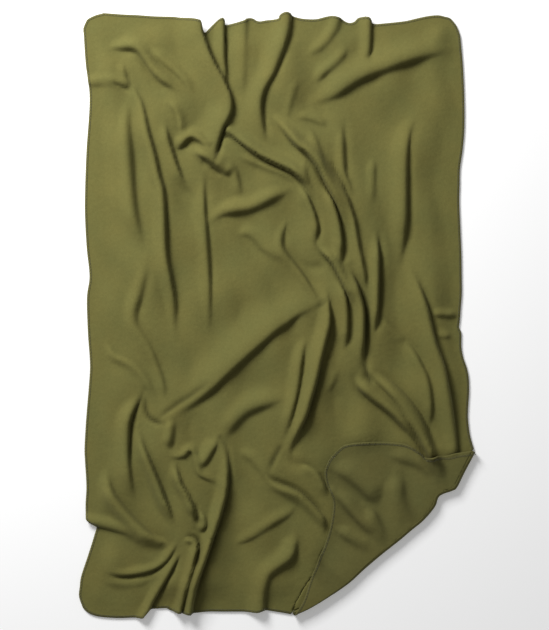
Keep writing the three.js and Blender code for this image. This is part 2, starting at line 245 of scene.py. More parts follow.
# %% Folds at the head
PANEL_FOLDS += [
    (20, 34, 6, .35, LEFT, (1, .3), [(-21.4, 86), (-21.2, 81), (-20.3, 78.5), (-18.8, 74.5), (-16.8, 70.5),
        (-15, 67), (-13.2, 63), (-12.7, 60), (-13, 57.5), (-14.3, 54.5), (-15.6, 51.5), (-16.7, 48),
        (-17, 44)]),
    (13, 9, 5, .3, LEFT, (1, 0), [(-14.9, 87), (-14.9, 80), (-14.8, 75), (-14.4, 70), (-13.5, 64)]),
    (7, 16, 9, .2, LEFT, (1, 0), [(-8.3, 87), (-8.5, 78), (-8.7, 70), (-9, 60)]),
    (15, 22, 8, .25, LEFT, (1, 0), [(4.3, 88), (3.8, 82), (2.8, 78), (1.5, 74), (.3, 71), (-.8, 68.5),
        (-2.3, 66), (-3.7, 63), (-4.2, 60), (-4, 57), (-3.3, 53), (-2.3, 50), (-1.5, 47)]),
    (6, 10, 7, .2, LEFT, (0, 0), [(7, 68), (6, 65), (4.8, 61), (4, 57.5), (3.8, 54.5)]),
    (7, 9, 7, .2, RIGHT, (0, 0), [(4.5, 55.6), (7.5, 55.5), (11, 54.5), (14.5, 52.5)]),
]
print("folds so far:", len(PANEL_FOLDS))

# %% [markdown]
# ## The two long sharp folds
# Two long folds run from near the head to the middle, where the cloth was pulled hardest. Their steep sides
# are narrow and they lean far over. Smaller folds take them on where they fade.

# %% The two long sharp folds
PANEL_FOLDS += [
    (23, 15, 6, .45, RIGHT, (.5, 0), [(-14.5, 52), (-12, 50), (-9.5, 48), (-6.5, 45.8), (-2.5, 43.6),
        (1, 42), (4, 40.5), (6, 38.7), (7.8, 36.3), (9.3, 33)]),
    (9, 9, 9, .2, RIGHT, (0, 0), [(-13, 45.5), (-9, 43.5), (-4, 41.3), (0, 40), (4, 38), (6.5, 35)]),
    (16, 8, 8, .3, LEFT, (0, .2), [(6, 38.5), (8, 35.5), (9.7, 32), (11, 28.5), (11.7, 25), (11.4, 21.5),
        (11.2, 19)]),
    (19, 9, 6, .15, RIGHT, (.3, 0), [(10.8, 20), (12.3, 17.6), (14.3, 15.6), (16, 13.2), (17.4, 10.6),
        (18.9, 7.5), (20, 4.5), (20.4, 1)]),
    (15, 10, 7, .3, LEFT, (0, 0), [(16.5, 12), (18, 9.5), (19.5, 6), (20.2, 2.5), (20.4, -2), (20.2, -8),
        (19.5, -12)]),
    (24, 14, 7, .4, RIGHT, (0, 0), [(-3.2, 59.5), (-1.5, 56), (1, 53), (3.5, 50), (5.5, 47.7), (8, 46),
        (10, 43.5), (12, 40.3), (13.8, 36.8), (15.6, 33.5), (17.3, 29.5), (18.6, 25), (19, 21)]),
    (19, 8, 8, .3, LEFT, (0, 0), [(12.5, 39), (14, 36.5), (15.7, 33.5), (17, 30), (18.1, 25.5), (18.7, 21),
        (18.7, 17), (19.5, 12)]),
]
print("folds so far:", len(PANEL_FOLDS))

# %% [markdown]
# ## Folds of the upper right
# One long fold slants in from the far right corner. Below it, straight folds run down the right side,
# and the last of them reaches the hem just above the turned corner.

# %% Folds of the upper right
PANEL_FOLDS += [
    (18, 30, 15, .25, RIGHT, (0, .1), [(8.5, 60), (13, 60.6), (17, 62), (20, 64), (24, 66.5), (28, 68.3),
        (32, 69.7), (36, 71.2), (41, 72.8), (46, 74), (51, 75)]),
    (12, 12, 7, .3, LEFT, (1, 0), [(27.2, 87), (27, 80), (26.8, 76), (26, 73), (24.8, 71)]),
    (10, 12, 9, .2, LEFT, (0, 0), [(20.6, 78), (19.8, 74.5), (18.5, 72.5), (16.5, 70.5), (14, 68.5),
        (10.5, 65)]),
    (8, 12, 9, .2, LEFT, (1, 0), [(19, 87), (17.7, 82), (16.3, 79.5), (14.5, 77), (12, 75), (8, 73)]),
    (15, 22, 9, .25, LEFT, (0, .1), [(41, 59), (39.8, 55.5), (38.6, 52.5), (37.8, 49), (37.4, 44),
        (37.3, 38), (37.3, 30), (37, 24), (36.6, 19), (35.6, 14)]),
    (17, 14, 9, .25, LEFT, (0, .7), [(38.2, 17.5), (39.3, 12.5), (40.5, 9.5), (42, 5.5), (43.3, 1.5),
        (44.3, -3), (45.5, -8), (47, -12), (48, -15), (49, -20), (50, -25), (50.8, -30), (51.5, -35),
        (51.9, -39)]),
    (8, 9, 6, .2, RIGHT, (.2, .1), [(43.5, -.3), (46, -.8), (49, -1), (52, -1)]),
    (6, 8, 6, .2, RIGHT, (.5, 0), [(44.8, -6.5), (47, -7), (50, -7.2)]),
    (20, 10, 7, .35, LEFT, (0, 0), [(28.8, 25.5), (29.2, 20), (29.3, 14), (29.2, 8), (29, 2), (28.7, -2),
        (28.2, -5), (27, -8)]),
    (6, 8, 6, .2, LEFT, (0, 0), [(29.7, 1), (31, -1.2), (32.7, -3.2), (35.5, -5.5), (38, -8.5)]),
    (11, 12, 8, .25, LEFT, (0, 0), [(36, -5), (38, -8), (40, -11), (41.8, -14.5), (43.3, -18), (44.3, -23),
        (44.5, -28), (44, -35)]),
    (10, 10, 8, .2, LEFT, (0, 0), [(18.8, 56.5), (19.3, 52), (19.5, 48), (19.6, 44), (20, 40), (21.5, 36),
        (22.5, 31)]),
    (15, 8, 6, .15, LEFT, (0, 0), [(15.7, 45), (16.8, 42), (18.1, 39), (19.4, 36), (20.6, 33),
        (21.7, 29.5), (22.6, 26), (23.2, 22), (24.2, 17), (25.3, 12), (26, 7), (26.3, 2)]),
    (9, 8, 6, .2, LEFT, (0, 0), [(9, 54.5), (11.3, 50.5), (12.8, 46.5), (14, 42), (15, 38.5)]),
    (10, 7, 5, .2, LEFT, (0, 0), [(8, 45.5), (8.4, 42.5), (9, 39), (10.2, 35.5), (11.5, 32)]),
    (7, 9, 8, .2, LEFT, (0, 0), [(28.3, 46), (28.4, 42), (28.2, 36), (27.5, 30)]),
]
print("folds so far:", len(PANEL_FOLDS))

# %% [markdown]
# ## Folds of the centre
# Here the folds from the head meet the broadest one of all, which crosses to the left. Its upper side
# climbs over 4 cm and its lower side drops in little more than one, times the scales set later.

# %% Folds of the centre
PANEL_FOLDS += [
    (15, 14, 13, .25, RIGHT, (.3, .1), [(-18.8, 25.5), (-15.5, 27.9), (-12, 28.7), (-8, 29.3), (-5, 30.4),
        (-1.5, 32.2), (2.5, 34), (5, 34.8)]),
    (12, 14, 8, .25, LEFT, (0, 0), [(-20.3, 44), (-20.4, 36), (-20.3, 30), (-19.9, 25), (-19.5, 20),
        (-19, 12), (-18.8, 5), (-18.8, -1), (-19.4, -8)]),
    (9, 10, 7, .2, LEFT, (0, 0), [(-16, 45.3), (-13, 43.7), (-11.3, 41), (-10.3, 37), (-9.2, 32.5)]),
    (8, 14, 9, .2, RIGHT, (0, 0), [(-13, 21.5), (-9, 22.2), (-7, 21), (-5, 18.5), (-2.5, 16.8), (0, 15.5),
        (4, 13.3)]),
    (11, 9, 7, .25, LEFT, (0, .6), [(3.6, 28), (2.7, 25), (1.8, 22.5), (1.7, 20), (2.8, 17.7), (5, 15),
        (7.3, 12), (9.3, 9), (11.2, 6), (12.9, 3)]),
    (26, 15, 6, .35, LEFT, (0, .1), [(13, 11), (14.5, 7), (15.2, 2.5), (15.4, -1), (15.1, -4), (14.1, -8),
        (13, -12.5), (12, -17), (11, -21), (9.8, -25), (8.7, -29), (7.3, -32), (5.8, -35), (4.5, -38),
        (3.8, -42)]),
    (19, 42, 12, .25, LEFT, (.2, .2), [(13.3, 2.6), (9.5, 1), (6, -.8), (3, -3), (0, -5), (-4, -8.5),
        (-8, -12), (-12, -15.7), (-15, -18.5), (-18, -21.5), (-21, -24), (-25, -27), (-28.5, -29.5)]),
    (12, 12, 7, .25, LEFT, (0, 0), [(9.9, -5), (8, -10), (7.2, -14), (6.6, -19), (5.7, -24), (4.3, -29),
        (3, -33.5), (1.2, -38)]),
    (13, 22, 14, .2, LEFT, (0, .2), [(3.5, -23.8), (0, -25.7), (-4, -27), (-8, -28.7), (-11, -31.3),
        (-13.3, -34.3), (-15, -37)]),
    (6, 9, 8, .2, LEFT, (0, 0), [(18, -15), (17, -19), (14.5, -23.5)]),
]
print("folds so far:", len(PANEL_FOLDS))

# %% [markdown]
# ## Folds towards the turned corner
# Turning the corner over pulls on the cloth beside it, so a few folds fan out from the middle
# to the fold line.

# %% Folds towards the turned corner
PANEL_FOLDS += [
    (21, 9, 8, .35, LEFT, (0, 0), [(19.5, 15), (21.5, 11.8), (23, 8.7), (23.9, 6), (24.7, 3.2), (25.1, 0),
        (25.1, -3), (25, -8), (25, -12), (25.6, -16)]),
    (22, 9, 8, .3, RIGHT, (.3, 1), [(25.6, -16.8), (28, -19.4), (31, -22.3), (34, -25.5), (36.7, -29),
        (39.2, -33), (41.3, -37), (43.3, -41.5), (45, -46)]),
    (14, 8, 7, .25, LEFT, (0, .6), [(26.3, -14.5), (31, -17.8), (36, -22), (40, -27), (43, -32.5),
        (45.2, -39)]),
    (20, 13, 12, .25, RIGHT, (0, .3), [(21.5, -15.5), (21.9, -18), (22.8, -20.8), (26, -24), (30, -27),
        (33.5, -30), (37, -34), (40, -38)]),
]
print("folds so far:", len(PANEL_FOLDS))

# %% [markdown]
# ## Folds of the lower left
# This is the most crumpled part. The cloth is gathered towards one spot near the foot, and the folds run
# out from it like rays.

# %% Folds of the lower left
PANEL_FOLDS += [
    (9, 9, 7, .2, LEFT, (0, .2), [(-49, -6), (-46.3, -10.8), (-42.5, -12.8), (-39.5, -15), (-37, -18),
        (-35, -21.5), (-33.8, -25.5)]),
    (13, 7, 13, .2, LEFT, (0, .2), [(-30, -28.5), (-29, -32), (-29.4, -35.5), (-30, -39)]),
    (11, 6, 6, .2, RIGHT, (.2, 0), [(-32.3, -40.6), (-29, -41.3), (-26.4, -40.8), (-25.1, -39.4),
        (-24.4, -40.6), (-23.9, -43), (-22.8, -46), (-19.5, -47.8), (-17.2, -49), (-16.6, -51)]),
    (7, 10, 9, .2, RIGHT, (0, 0), [(-13, -39.5), (-9, -41.5), (-6, -44.5), (-3, -48), (0, -50.5)]),
    (17, 15, 9, .3, LEFT, (0, 0), [(-36.5, -22), (-38.5, -24), (-40, -26.5), (-41.5, -29.5), (-42.2, -33),
        (-42.3, -40), (-42, -45), (-41, -50), (-39.3, -55)]),
    (21, 12, 8, .25, LEFT, (.2, 0), [(-39.3, -32), (-38, -37), (-36, -42), (-34, -47), (-32, -52),
        (-30, -56.5), (-28.2, -62)]),
    (25, 13, 5, .4, LEFT, (.1, 1), [(-16.4, -34.8), (-14.8, -37.5), (-14, -41), (-13.8, -46), (-14.2, -51),
        (-15.3, -55.5), (-16.7, -60), (-18.3, -65), (-20, -70), (-21.5, -74), (-23, -78.5), (-24.6, -88)]),
    (13, 12, 8, .25, LEFT, (.3, 0), [(-16.2, -35.5), (-18, -39), (-19.5, -41.5), (-22, -45)]),
    (19, 9, 6, .3, LEFT, (0, .2), [(-29.2, -41), (-28, -45.5), (-26.8, -48.5), (-25, -51.5),
        (-23.8, -54.5), (-23, -57), (-23, -60)]),
    (14, 6, 5, .3, LEFT, (.2, 0), [(-22.3, -55.5), (-20.4, -58), (-20.3, -60.5), (-22.3, -63)]),
    (19, 8, 5, .35, LEFT, (.6, 1), [(-25, -63.4), (-23.2, -64.1), (-22.4, -66), (-23, -69), (-24.3, -74),
        (-25.8, -79), (-28, -88)]),
    (21, 16, 10, .2, LEFT, (0, 0), [(-48.2, -43), (-47.5, -48), (-46.5, -51), (-44.5, -54), (-42, -57),
        (-39, -60), (-36, -62.5), (-32, -64.3), (-29, -65.5)]),
    (9, 10, 11, .2, RIGHT, (1, 0), [(-56, -60.5), (-52, -61), (-47, -62.2), (-43, -63.7), (-39.5, -66.3),
        (-36.5, -70)]),
    (9, 9, 5, .3, RIGHT, (0, 0), [(-50.3, -71.5), (-49.2, -73.7), (-47, -74.7), (-43, -75), (-38.5, -74.4),
        (-34.5, -73), (-31.8, -71), (-30, -68.5), (-28.2, -65.5), (-26.3, -62)]),
    (4, 10, 9, .2, RIGHT, (0, 0), [(-51.5, -76), (-48, -77.8), (-44, -78.5), (-39, -78), (-34.5, -76)]),
    (13, 9, 5, .35, LEFT, (0, 1), [(-26.8, -67), (-29, -71.5), (-31, -75), (-33, -78.5), (-35, -82),
        (-38, -88)]),
]
print("folds so far:", len(PANEL_FOLDS))

# %% [markdown]
# ## Folds of the near edge
# Between the gathered foot and the turned corner there are only a few folds. They are shorter, and the
# last one ends at the near hem.

# %% Folds of the near edge
PANEL_FOLDS += [
    (16, 10, 8, .3, LEFT, (.3, 0), [(-3, -45), (-1.5, -47), (1, -48.5), (4, -49.7), (7, -51.3),
        (9.5, -53.5), (11.5, -55.5), (13.5, -58), (14.3, -61), (13.5, -65)]),
    (11, 12, 6, .3, LEFT, (0, 0), [(5, -41.8), (8.5, -43), (11, -44.5), (13, -47), (14.3, -50),
        (15.5, -53)]),
    (6, 8, 9, .2, RIGHT, (0, 0), [(-5.5, -48), (-2, -50.5), (0, -51.5), (3, -53.5), (5.5, -56)]),
    (9, 14, 9, .2, LEFT, (0, 0), [(7, -53.5), (4, -57.5), (0, -60), (-4, -62.5), (-8, -65), (-13, -67)]),
    (16, 18, 12, .25, LEFT, (0, 1), [(6.8, -60), (5.8, -66), (5, -69), (3.5, -71), (.5, -73), (-1.8, -75),
        (-2.8, -78), (-3.3, -81), (-3.8, -89)]),
]
print("folds on the panel:", len(PANEL_FOLDS))

# %% [markdown]
# ## Creases
# At the foot of a tight fold the cloth is pinched along a narrow line. Such a line is a stroke as well,
# with a depth and half a width, and most of them run along the steep side of a fold above.

# %% The creases
# depth mm, half width mm, (start, end) strength, path in cm
PANEL_CREASES = [
    (20, 4, (.6, 0), [(-13.8, 51), (-12, 49.8), (-9.5, 48), (-6.5, 45.8), (-2.5, 43.6), (1, 42), (4, 40.5),
        (6, 38.7), (7.8, 36.3), (9.6, 32.5), (10.8, 29.5)]),
    (13, 5, (.2, 0), [(11.2, 20.5), (12, 18.3), (13.5, 16.4), (15.3, 14.5), (16.5, 12.5), (17.5, 10.5),
        (19, 7.5), (20, 4.8), (20.4, 1), (20.4, -4)]),
    (25, 5.5, (0, 0), [(2.5, 50.5), (5, 48), (7, 46.5), (9, 44.7), (11, 42.2), (12.5, 39.5), (14, 36.5),
        (15.5, 33), (16.8, 30), (18, 26)]),
    (18, 7, (0, .2), [(21.5, 12.5), (23, 9), (23.8, 6.5), (24.6, 4), (25.2, 0), (25.3, -5), (25.2, -10),
        (25.4, -15)]),
    (14, 4, (.3, 0), [(25, -14), (25.5, -16), (26.1, -18), (27.8, -20.4)]),
    (16, 4, (0, .3), [(-14.5, 56), (-15.3, 53.5), (-15.9, 51), (-16.8, 47), (-17.1, 44.2)]),
    (14, 6, (0, 0), [(-17, 50.2), (-15, 51.2), (-12.5, 50.3), (-10, 48.3)]),
    (12, 5, (0, .2), [(-20, 42.8), (-18, 41.5), (-16.5, 40.6), (-15.1, 40)]),
    (12, 6, (0, 0), [(14, -7), (13, -10.5), (12, -17), (10.2, -24.5), (8.5, -29), (6.5, -34), (4.5, -39)]),
    (14, 6, (.4, .6), [(-16.4, -35.3), (-14.6, -38), (-13.8, -42), (-13.7, -48), (-14.5, -53),
        (-16, -58.5), (-18, -64), (-20, -70), (-22, -76), (-24.6, -86)]),
    (14, 4, (.5, 0), [(-25, -63.4), (-23.2, -64.2), (-22.4, -66), (-23, -69.5), (-24, -73)]),
    (10, 3.5, (0, 0), [(-49.5, -73.6), (-47, -74.9), (-43, -75.1), (-38.5, -74.4), (-35, -73.3),
        (-32.3, -71.3), (-30.5, -69)]),
    (12, 4, (0, .5), [(-27.2, -67.6), (-29, -71), (-31, -75), (-33, -78.5), (-35, -82), (-37.5, -87)]),
    (22, 5, (.2, 0), [(-2.6, -45.6), (-1, -47.1), (1, -48.3), (4, -49.5), (7, -51.2), (9.5, -53.5),
        (12, -56.2), (13.8, -59.5)]),
    (10, 4, (0, 0), [(11.5, -44.5), (12.6, -46.2), (14, -49), (15.4, -52)]),
    (13, 5, (0, 1), [(37, -32.5), (40.3, -37.3), (42, -41), (44, -45)]),
    (10, 4, (0, 0), [(-24, -53), (-23.3, -55), (-22.9, -57.5), (-23.1, -60.5)]),
    (10, 4.5, (0, .3), [(1.5, -36.5), (.3, -39), (-1.2, -42), (-2.4, -45)]),
    (9, 5, (0, 0), [(28.9, 21), (29.3, 10), (29, 2), (28.1, -5)]),
    (8, 3.5, (0, .2), [(-43.5, 70), (-42.5, 67), (-41.7, 64.2)]),
    (8, 3.5, (0, .2), [(-47.5, 66.8), (-46, 66.3), (-43.8, 65), (-41.8, 64)]),
    (8, 4.5, (0, 0), [(-19, -18), (-23, -21.3), (-26, -23.7), (-29, -25.8), (-32, -28), (-35.5, -30.7)]),
    (17, 5, (.2, 0), [(-37.8, -24), (-37.7, -27), (-36.8, -29.3), (-35, -30.7), (-31.5, -31.8)]),
    (14, 6, (.2, 0), [(-38, -21.5), (-39.2, -23.8), (-40.7, -27), (-42, -31), (-42.4, -38), (-42, -45)]),
    (9, 5, (0, 0), [(-30.7, 53), (-30, 49), (-28.8, 44), (-27.3, 40.5), (-25, 37.8)]),
    (7, 5, (0, 0), [(13, 5), (12.9, 3), (10.5, 1.8)]),
    (9, 4.5, (0, 0), [(16, 43), (17.2, 39.8), (18.8, 36.5), (20, 33.5)]),
]
print("creases:", len(PANEL_CREASES))

# %% [markdown]
# ## Valleys
# Between two folds the cloth often dips below its neighbours in a soft hollow. A valley is written
# like a crease, and is made wider.

# %% The valleys
# depth mm, half width mm, (start, end) strength, path in cm
PANEL_VALLEYS = [
    (13, 7, (.3, .3), [(8.2, 36), (9.8, 32), (11.2, 28), (11.7, 24), (11.3, 20)]),
    (18, 8, (0, 0), [(14.2, 36.5), (15.8, 33.5), (17.1, 30), (18.2, 25.5), (18.7, 21), (18.9, 17),
        (20, 12.5)]),
    (24, 8, (.2, .5), [(21, 13.5), (22.8, 9.5), (24, 5.5), (24.9, 2), (25.2, -2), (25.2, -8),
        (25.2, -14.5)]),
    (17, 7, (0, 0), [(29, 26), (29.3, 18), (29.4, 10), (29.1, 3), (28.5, -3), (27.2, -8)]),
    (13, 6, (.3, 0), [(19.8, 5), (20.5, 1), (20.6, -4), (20.3, -10)]),
    (19, 8, (0, .2), [(14.2, 10), (15.2, 5), (15.7, 0), (15.4, -4.5), (14.3, -9.5), (13, -14.5),
        (11.9, -19), (10.7, -23), (9.5, -27), (8, -31), (6.3, -35), (4.8, -39)]),
    (9, 8, (0, .2), [(38.3, 54), (37.6, 48), (37.5, 42), (37.5, 30), (37.2, 21), (36.1, 15)]),
    (14, 8, (0, .8), [(38.7, 16.5), (40.8, 10.5), (42.6, 5), (44, -1), (45.8, -7), (47.6, -12.5),
        (49.1, -18), (50.4, -25), (51.6, -34), (52, -40)]),
    (8, 7, (0, 0), [(-39.2, 64), (-37.2, 56), (-35.2, 48), (-33.3, 40), (-32.1, 32), (-31.6, 20),
        (-30.4, 10)]),
    (7, 9, (0, 0), [(-41.8, 64), (-42, 52), (-41, 40), (-40, 30), (-38, 22), (-36.8, 16)]),
    (8, 6, (0, 0), [(-20.2, 44), (-20.2, 32), (-19.6, 20), (-19, 10), (-18.8, 0)]),
    (8, 8, (0, 0), [(-36.9, 18), (-37.2, 11), (-38.5, 5), (-39.9, 0), (-38.5, -4.5), (-36, -9),
        (-33.8, -14.5)]),
    (13, 5, (0, 0), [(15.4, 45), (16.4, 42), (17.4, 39.5), (18.9, 36.5), (20.6, 32.5)]),
    (9, 7, (0, 0), [(18.7, 57), (19.4, 51), (19.7, 44), (20.6, 38)]),
    (12, 6, (.2, 0), [(-3.5, 63.5), (-4.2, 60), (-4, 56.5), (-3.3, 53), (-2, 49)]),
    (9, 9, (1, 0), [(4.2, 87), (3.8, 82), (2.9, 78), (1.5, 74), (.3, 71), (-1.2, 67.5)]),
    (9, 6, (0, 0), [(-30.4, -29.5), (-29.5, -32.5), (-29.9, -36), (-30.5, -39.5)]),
    (10, 7, (0, 0), [(36, -4.5), (38, -8), (40, -11), (41.9, -14.5), (43.4, -18), (44.4, -23),
        (44.6, -30)]),
    (14, 8, (.2, .1), [(22.4, -18), (23.5, -20.9), (26, -23.5), (29.5, -26.5), (33, -29.5), (36.8, -33.8),
        (40, -38)]),
    (11, 8, (0, .2), [(27, -15.2), (31, -17.8), (36, -22), (40, -27), (43, -32), (45, -37)]),
    (8, 10, (0, 0), [(-48, -44), (-47, -50), (-44.5, -54), (-41, -58), (-36.5, -62.3)]),
    (10, 7, (0, 0), [(-39.2, -33), (-36.7, -40.5), (-34.2, -47), (-32, -52), (-29.8, -58)]),
    (10, 5, (0, 0), [(-29, -42), (-27.2, -48), (-25.1, -52), (-23.6, -56)]),
    (9, 7, (0, .3), [(3.8, 27), (2.3, 22.8), (2.2, 19.8), (4, 17), (6.5, 14), (9, 10.5), (12, 5.5)]),
    (8, 9, (0, 0), [(6.5, 14.5), (10, 13.3), (14.5, 14.3)]),
    (12, 4.5, (1, 0), [(-14.8, 88), (-14.8, 78), (-14.6, 71), (-13.4, 63)]),
    (12, 6, (.4, 0), [(-20.8, 80.5), (-19.4, 76.3), (-17.6, 72.3), (-15.2, 67.5)]),
    (7, 8, (1, 0), [(27.2, 87), (27.1, 80), (26.7, 76), (25.4, 71.5)]),
    (10, 9, (0, 0), [(-27.8, 48.3), (-25, 48.8), (-22.5, 47.8), (-19.5, 46)]),
    (12, 9, (0, .2), [(-22.5, 44.5), (-20, 43.3), (-17.5, 41.9), (-15.4, 40.8)]),
    (9, 7, (0, 0), [(-45.5, 75.3), (-41, 75), (-38.3, 71.8), (-35, 68)]),
    (8, 9, (.3, 0), [(-.5, -38), (4, -42.6), (9, -43.8), (13, -47)]),
]
print("valleys:", len(PANEL_VALLEYS))

# %% [markdown]
# ## Swells
# Air is trapped under a spread blanket, so whole groups of folds ride on a low, broad swell. These
# strokes are six to nine centimetres wide on each side and only a centimetre or two high.

# %% The swells
# height mm, half width mm, (start, end) strength, path in cm
PANEL_SWELLS = [
    (17, 85, (0, .1), [(-6, 60), (3, 52), (11, 42), (17, 30), (20, 18), (22, 6), (23, -6), (23, -20)]),
    (9, 75, (0, 0), [(-36, 80), (-36, 60), (-34, 40), (-35, 20), (-37, 0), (-34, -20)]),
    (13, 80, (.2, .5), [(-36, -24), (-31, -40), (-26, -55), (-25, -70), (-29, -86)]),
    (11, 70, (0, .4), [(38, 20), (42, 5), (45, -10), (47, -25), (48, -38)]),
    (9, 60, (0, 0), [(12, 2), (9, -12), (6, -26), (2, -42), (5, -52)]),
    (8, 60, (0, 0), [(-30, 50), (-22, 47), (-14, 44), (-4, 42)]),
    (7, 70, (.4, 0), [(-18, 84), (-4, 78), (0, 66), (-4, 54)]),
    (6, 60, (0, 0), [(38, 56), (36, 40), (35, 20)]),
]
print("swells:", len(PANEL_SWELLS))

# %% [markdown]
# ## Folds of the turned corner
# The corner that lies over shows the back of the fleece and has its own softer folds. They are
# long arcs that start near the hem and run towards the fold line, since the corner was
# pulled over by hand and left as it fell.

# %% The folds of the turned corner
FLAP_FOLDS = [
    (13, 18, 16, .25, RIGHT, (.2, 0), [(15, -45), (19, -46.8), (22.5, -49.5), (25.5, -52.3),
        (28.3, -55.5)]),
    (14, 12, 12, .25, LEFT, (.2, 0), [(26, -54), (28.2, -56.8), (29.8, -59.8), (30.7, -62.5), (30.3, -65),
        (29, -67.5)]),
    (14, 10, 13, .25, RIGHT, (.3, .2), [(15, -51.5), (18, -54), (21, -57.5), (24, -60.7), (27, -63.3),
        (29.5, -65)]),
    (10, 9, 12, .2, RIGHT, (0, 0), [(15.5, -61.5), (20, -64.8), (24, -67), (28.5, -68)]),
    (14, 14, 17, .2, LEFT, (.2, .3), [(36, -45), (36.3, -51), (37.2, -54.5), (38.4, -57.5), (39.8, -61)]),
    (17, 12, 12, .25, RIGHT, (1, .3), [(40, -36), (42, -40), (44, -43.8), (46.2, -48)]),
    (9, 9, 10, .2, LEFT, (.6, 0), [(45.5, -38), (47, -42), (47.5, -46), (48, -51)]),
    (8, 12, 12, .2, RIGHT, (0, 0), [(31, -41), (36, -42.5), (41, -44.5), (46, -49)]),
    (8, 14, 12, .2, LEFT, (0, .4), [(12.5, -66), (12, -70), (15, -74), (20, -77)]),
]
print("folds on the turned corner:", len(FLAP_FOLDS))

# %% [markdown]
# ## From strokes to a surface
# For every point of the sheet, the nearest place on a stroke gives a distance across it. The direction
# of the stroke tells on which side the point lies; it is eased along the stroke, so that the
# two sides of a bend agree. The strokes are curves, so no point is measured against a corner.

# %% Measure across a stroke
STROKE_STEP = 0.25
# all strokes sit a touch further right and up than their tables say
STROKE_SHIFT = np.array([1.5 * MM, 2 * MM])
TAPER = 0.3


def unit(v):
    return v / np.maximum(np.linalg.norm(v, axis=1), 1e-9)[:, None]


def eased(direction, rounds):
    """Directions along a line, smoothed over their neighbours and brought to length 1."""
    for _ in range(rounds):
        direction[1:-1] = (direction[:-2] + 2 * direction[1:-1] + direction[2:]) / 4
    return unit(direction)


def across_path(xy, path, reach):
    """Which points are near the path, how far to its right they are, and how far along it, 0 to 1.
    The last two results are how far a point lies past an end, and the way to the right."""
    curve = smooth_curve(path, STROKE_STEP) * CM + STROKE_SHIFT
    low, high = curve.min(0) - reach, curve.max(0) + reach
    near = np.flatnonzero(np.all((xy > low) & (xy < high), axis=1))
    points = xy[near]
    gap = ((points[:, None, :] - curve[None, :, :]) ** 2).sum(-1)
    nearest = gap.argmin(1)
    t = eased(unit(np.gradient(curve, axis=0)), 6)[nearest]
    offset = points - curve[nearest]
    right = np.column_stack([t[:, 1], -t[:, 0]])
    beyond = (offset * t).sum(1)
    past = np.where(nearest == 0, np.minimum(beyond, 0), 0)
    past = np.where(nearest == len(curve) - 1, np.maximum(beyond, 0), past)
    side = np.sign((offset * right).sum(1))
    distance = np.sqrt(np.maximum(gap[np.arange(len(near)), nearest] - past ** 2, 0)) * side
    return near, distance, nearest / (len(curve) - 1), past, right


def strength_along(share, ends):
    """Full strength in the middle of a stroke, easing to its start and end values."""
    start, end = ends
    rise = start + (1 - start) * smoothstep(share, 0.0, TAPER)
    fall = end + (1 - end) * smoothstep(1 - share, 0.0, TAPER)
    return rise * fall


print("strokes can be measured")

# %% [markdown]
# ## Raise the folds
# A bell curve of the distance, wide on the gentle side and narrow on the steep one, is the height that a
# fold adds. Its crest is pushed over towards the drop. The heights are joined like a soft maximum, so
# that folds that cross merge and do not pile up.

# %% Raise the folds
# the tables hold sizes as first judged; these multiply the heights, gentle widths and steep widths
FOLD_SCALE = (1.45, 1.3, 1.6)
# nothing is narrower than this, in mm, because the grid's cells are 6.5 mm wide
FINEST = 7.5
# the bell's power on each side: a higher one gives a fuller crest and a steeper foot
GENTLE_SHAPE = 2
DROP_SHAPE = 3
# the crest stands back from the stroke by this many steep widths, and this many mm more
DROP_AT = 0.87
CREST_BACK = 5
# the share of a fold's width that is left where its strength runs out
END_WIDTH = 0.55
# how far a fold runs on past its ends, in gentle widths
PAST_END = 0.8
# no crest is pushed further than this many steep widths
LEAN_LIMIT = 0.5
# a fold is too low to matter this many widths away
FOLD_REACH = 2.9
# how sharply folds that cross are joined
MELT = 2.5


def fold_relief(xy, folds):
    """Height and sideways lean of all the folds at each point, in metres."""
    total = np.zeros(len(xy))
    shift = np.zeros((len(xy), 2))
    for height, gentle, steep, lean, drop, ends, path in folds:
        height, gentle, steep = FOLD_SCALE[0] * height, FOLD_SCALE[1] * gentle, FOLD_SCALE[2] * steep
        steep = max(steep, FINEST)
        reach = FOLD_REACH * max(gentle, steep) * MM
        near, distance, share, past, right = across_path(xy, path, reach)
        strength = strength_along(share, ends)
        narrowing = END_WIDTH + (1 - END_WIDTH) * strength
        from_crest = distance * drop + (DROP_AT * steep * narrowing + CREST_BACK) * MM
        width = np.where(from_crest < 0, gentle, steep) * narrowing * MM
        shape = np.where(from_crest < 0, GENTLE_SHAPE, DROP_SHAPE)
        bell = np.exp(-np.abs(from_crest / width) ** shape)
        bell *= np.exp(-(past / (PAST_END * gentle * MM)) ** 2) * strength
        total[near] += (height * MM * bell) ** MELT
        push = min(lean * height, LEAN_LIMIT * steep) * MM
        shift[near] += (push * bell * drop)[:, None] * right
    return total ** (1 / MELT), shift


print("fold scales:", FOLD_SCALE, "finest fold, mm:", FINEST)

# %% [markdown]
# ## Keep the cloth from turning over
# A fold that leans far pushes the grid sideways, and two of its lines can cross, which would show as a torn
# strip. So the room of each cell is measured as seen from above. Where too little is left, the
# lean is eased a little, and then all is measured again.

# %% Ease a lean that is too strong
EASE_ROUNDS = 14
EASE = 0.3
# a cell counts as tight below this share of the room it had before the folds lean
TIGHTEST = 0.22


def cell_areas(place):
    along, up = np.diff(place, axis=1)[:-1], np.diff(place, axis=0)[:, :-1]
    return along[..., 0] * up[..., 1] - along[..., 1] * up[..., 0]


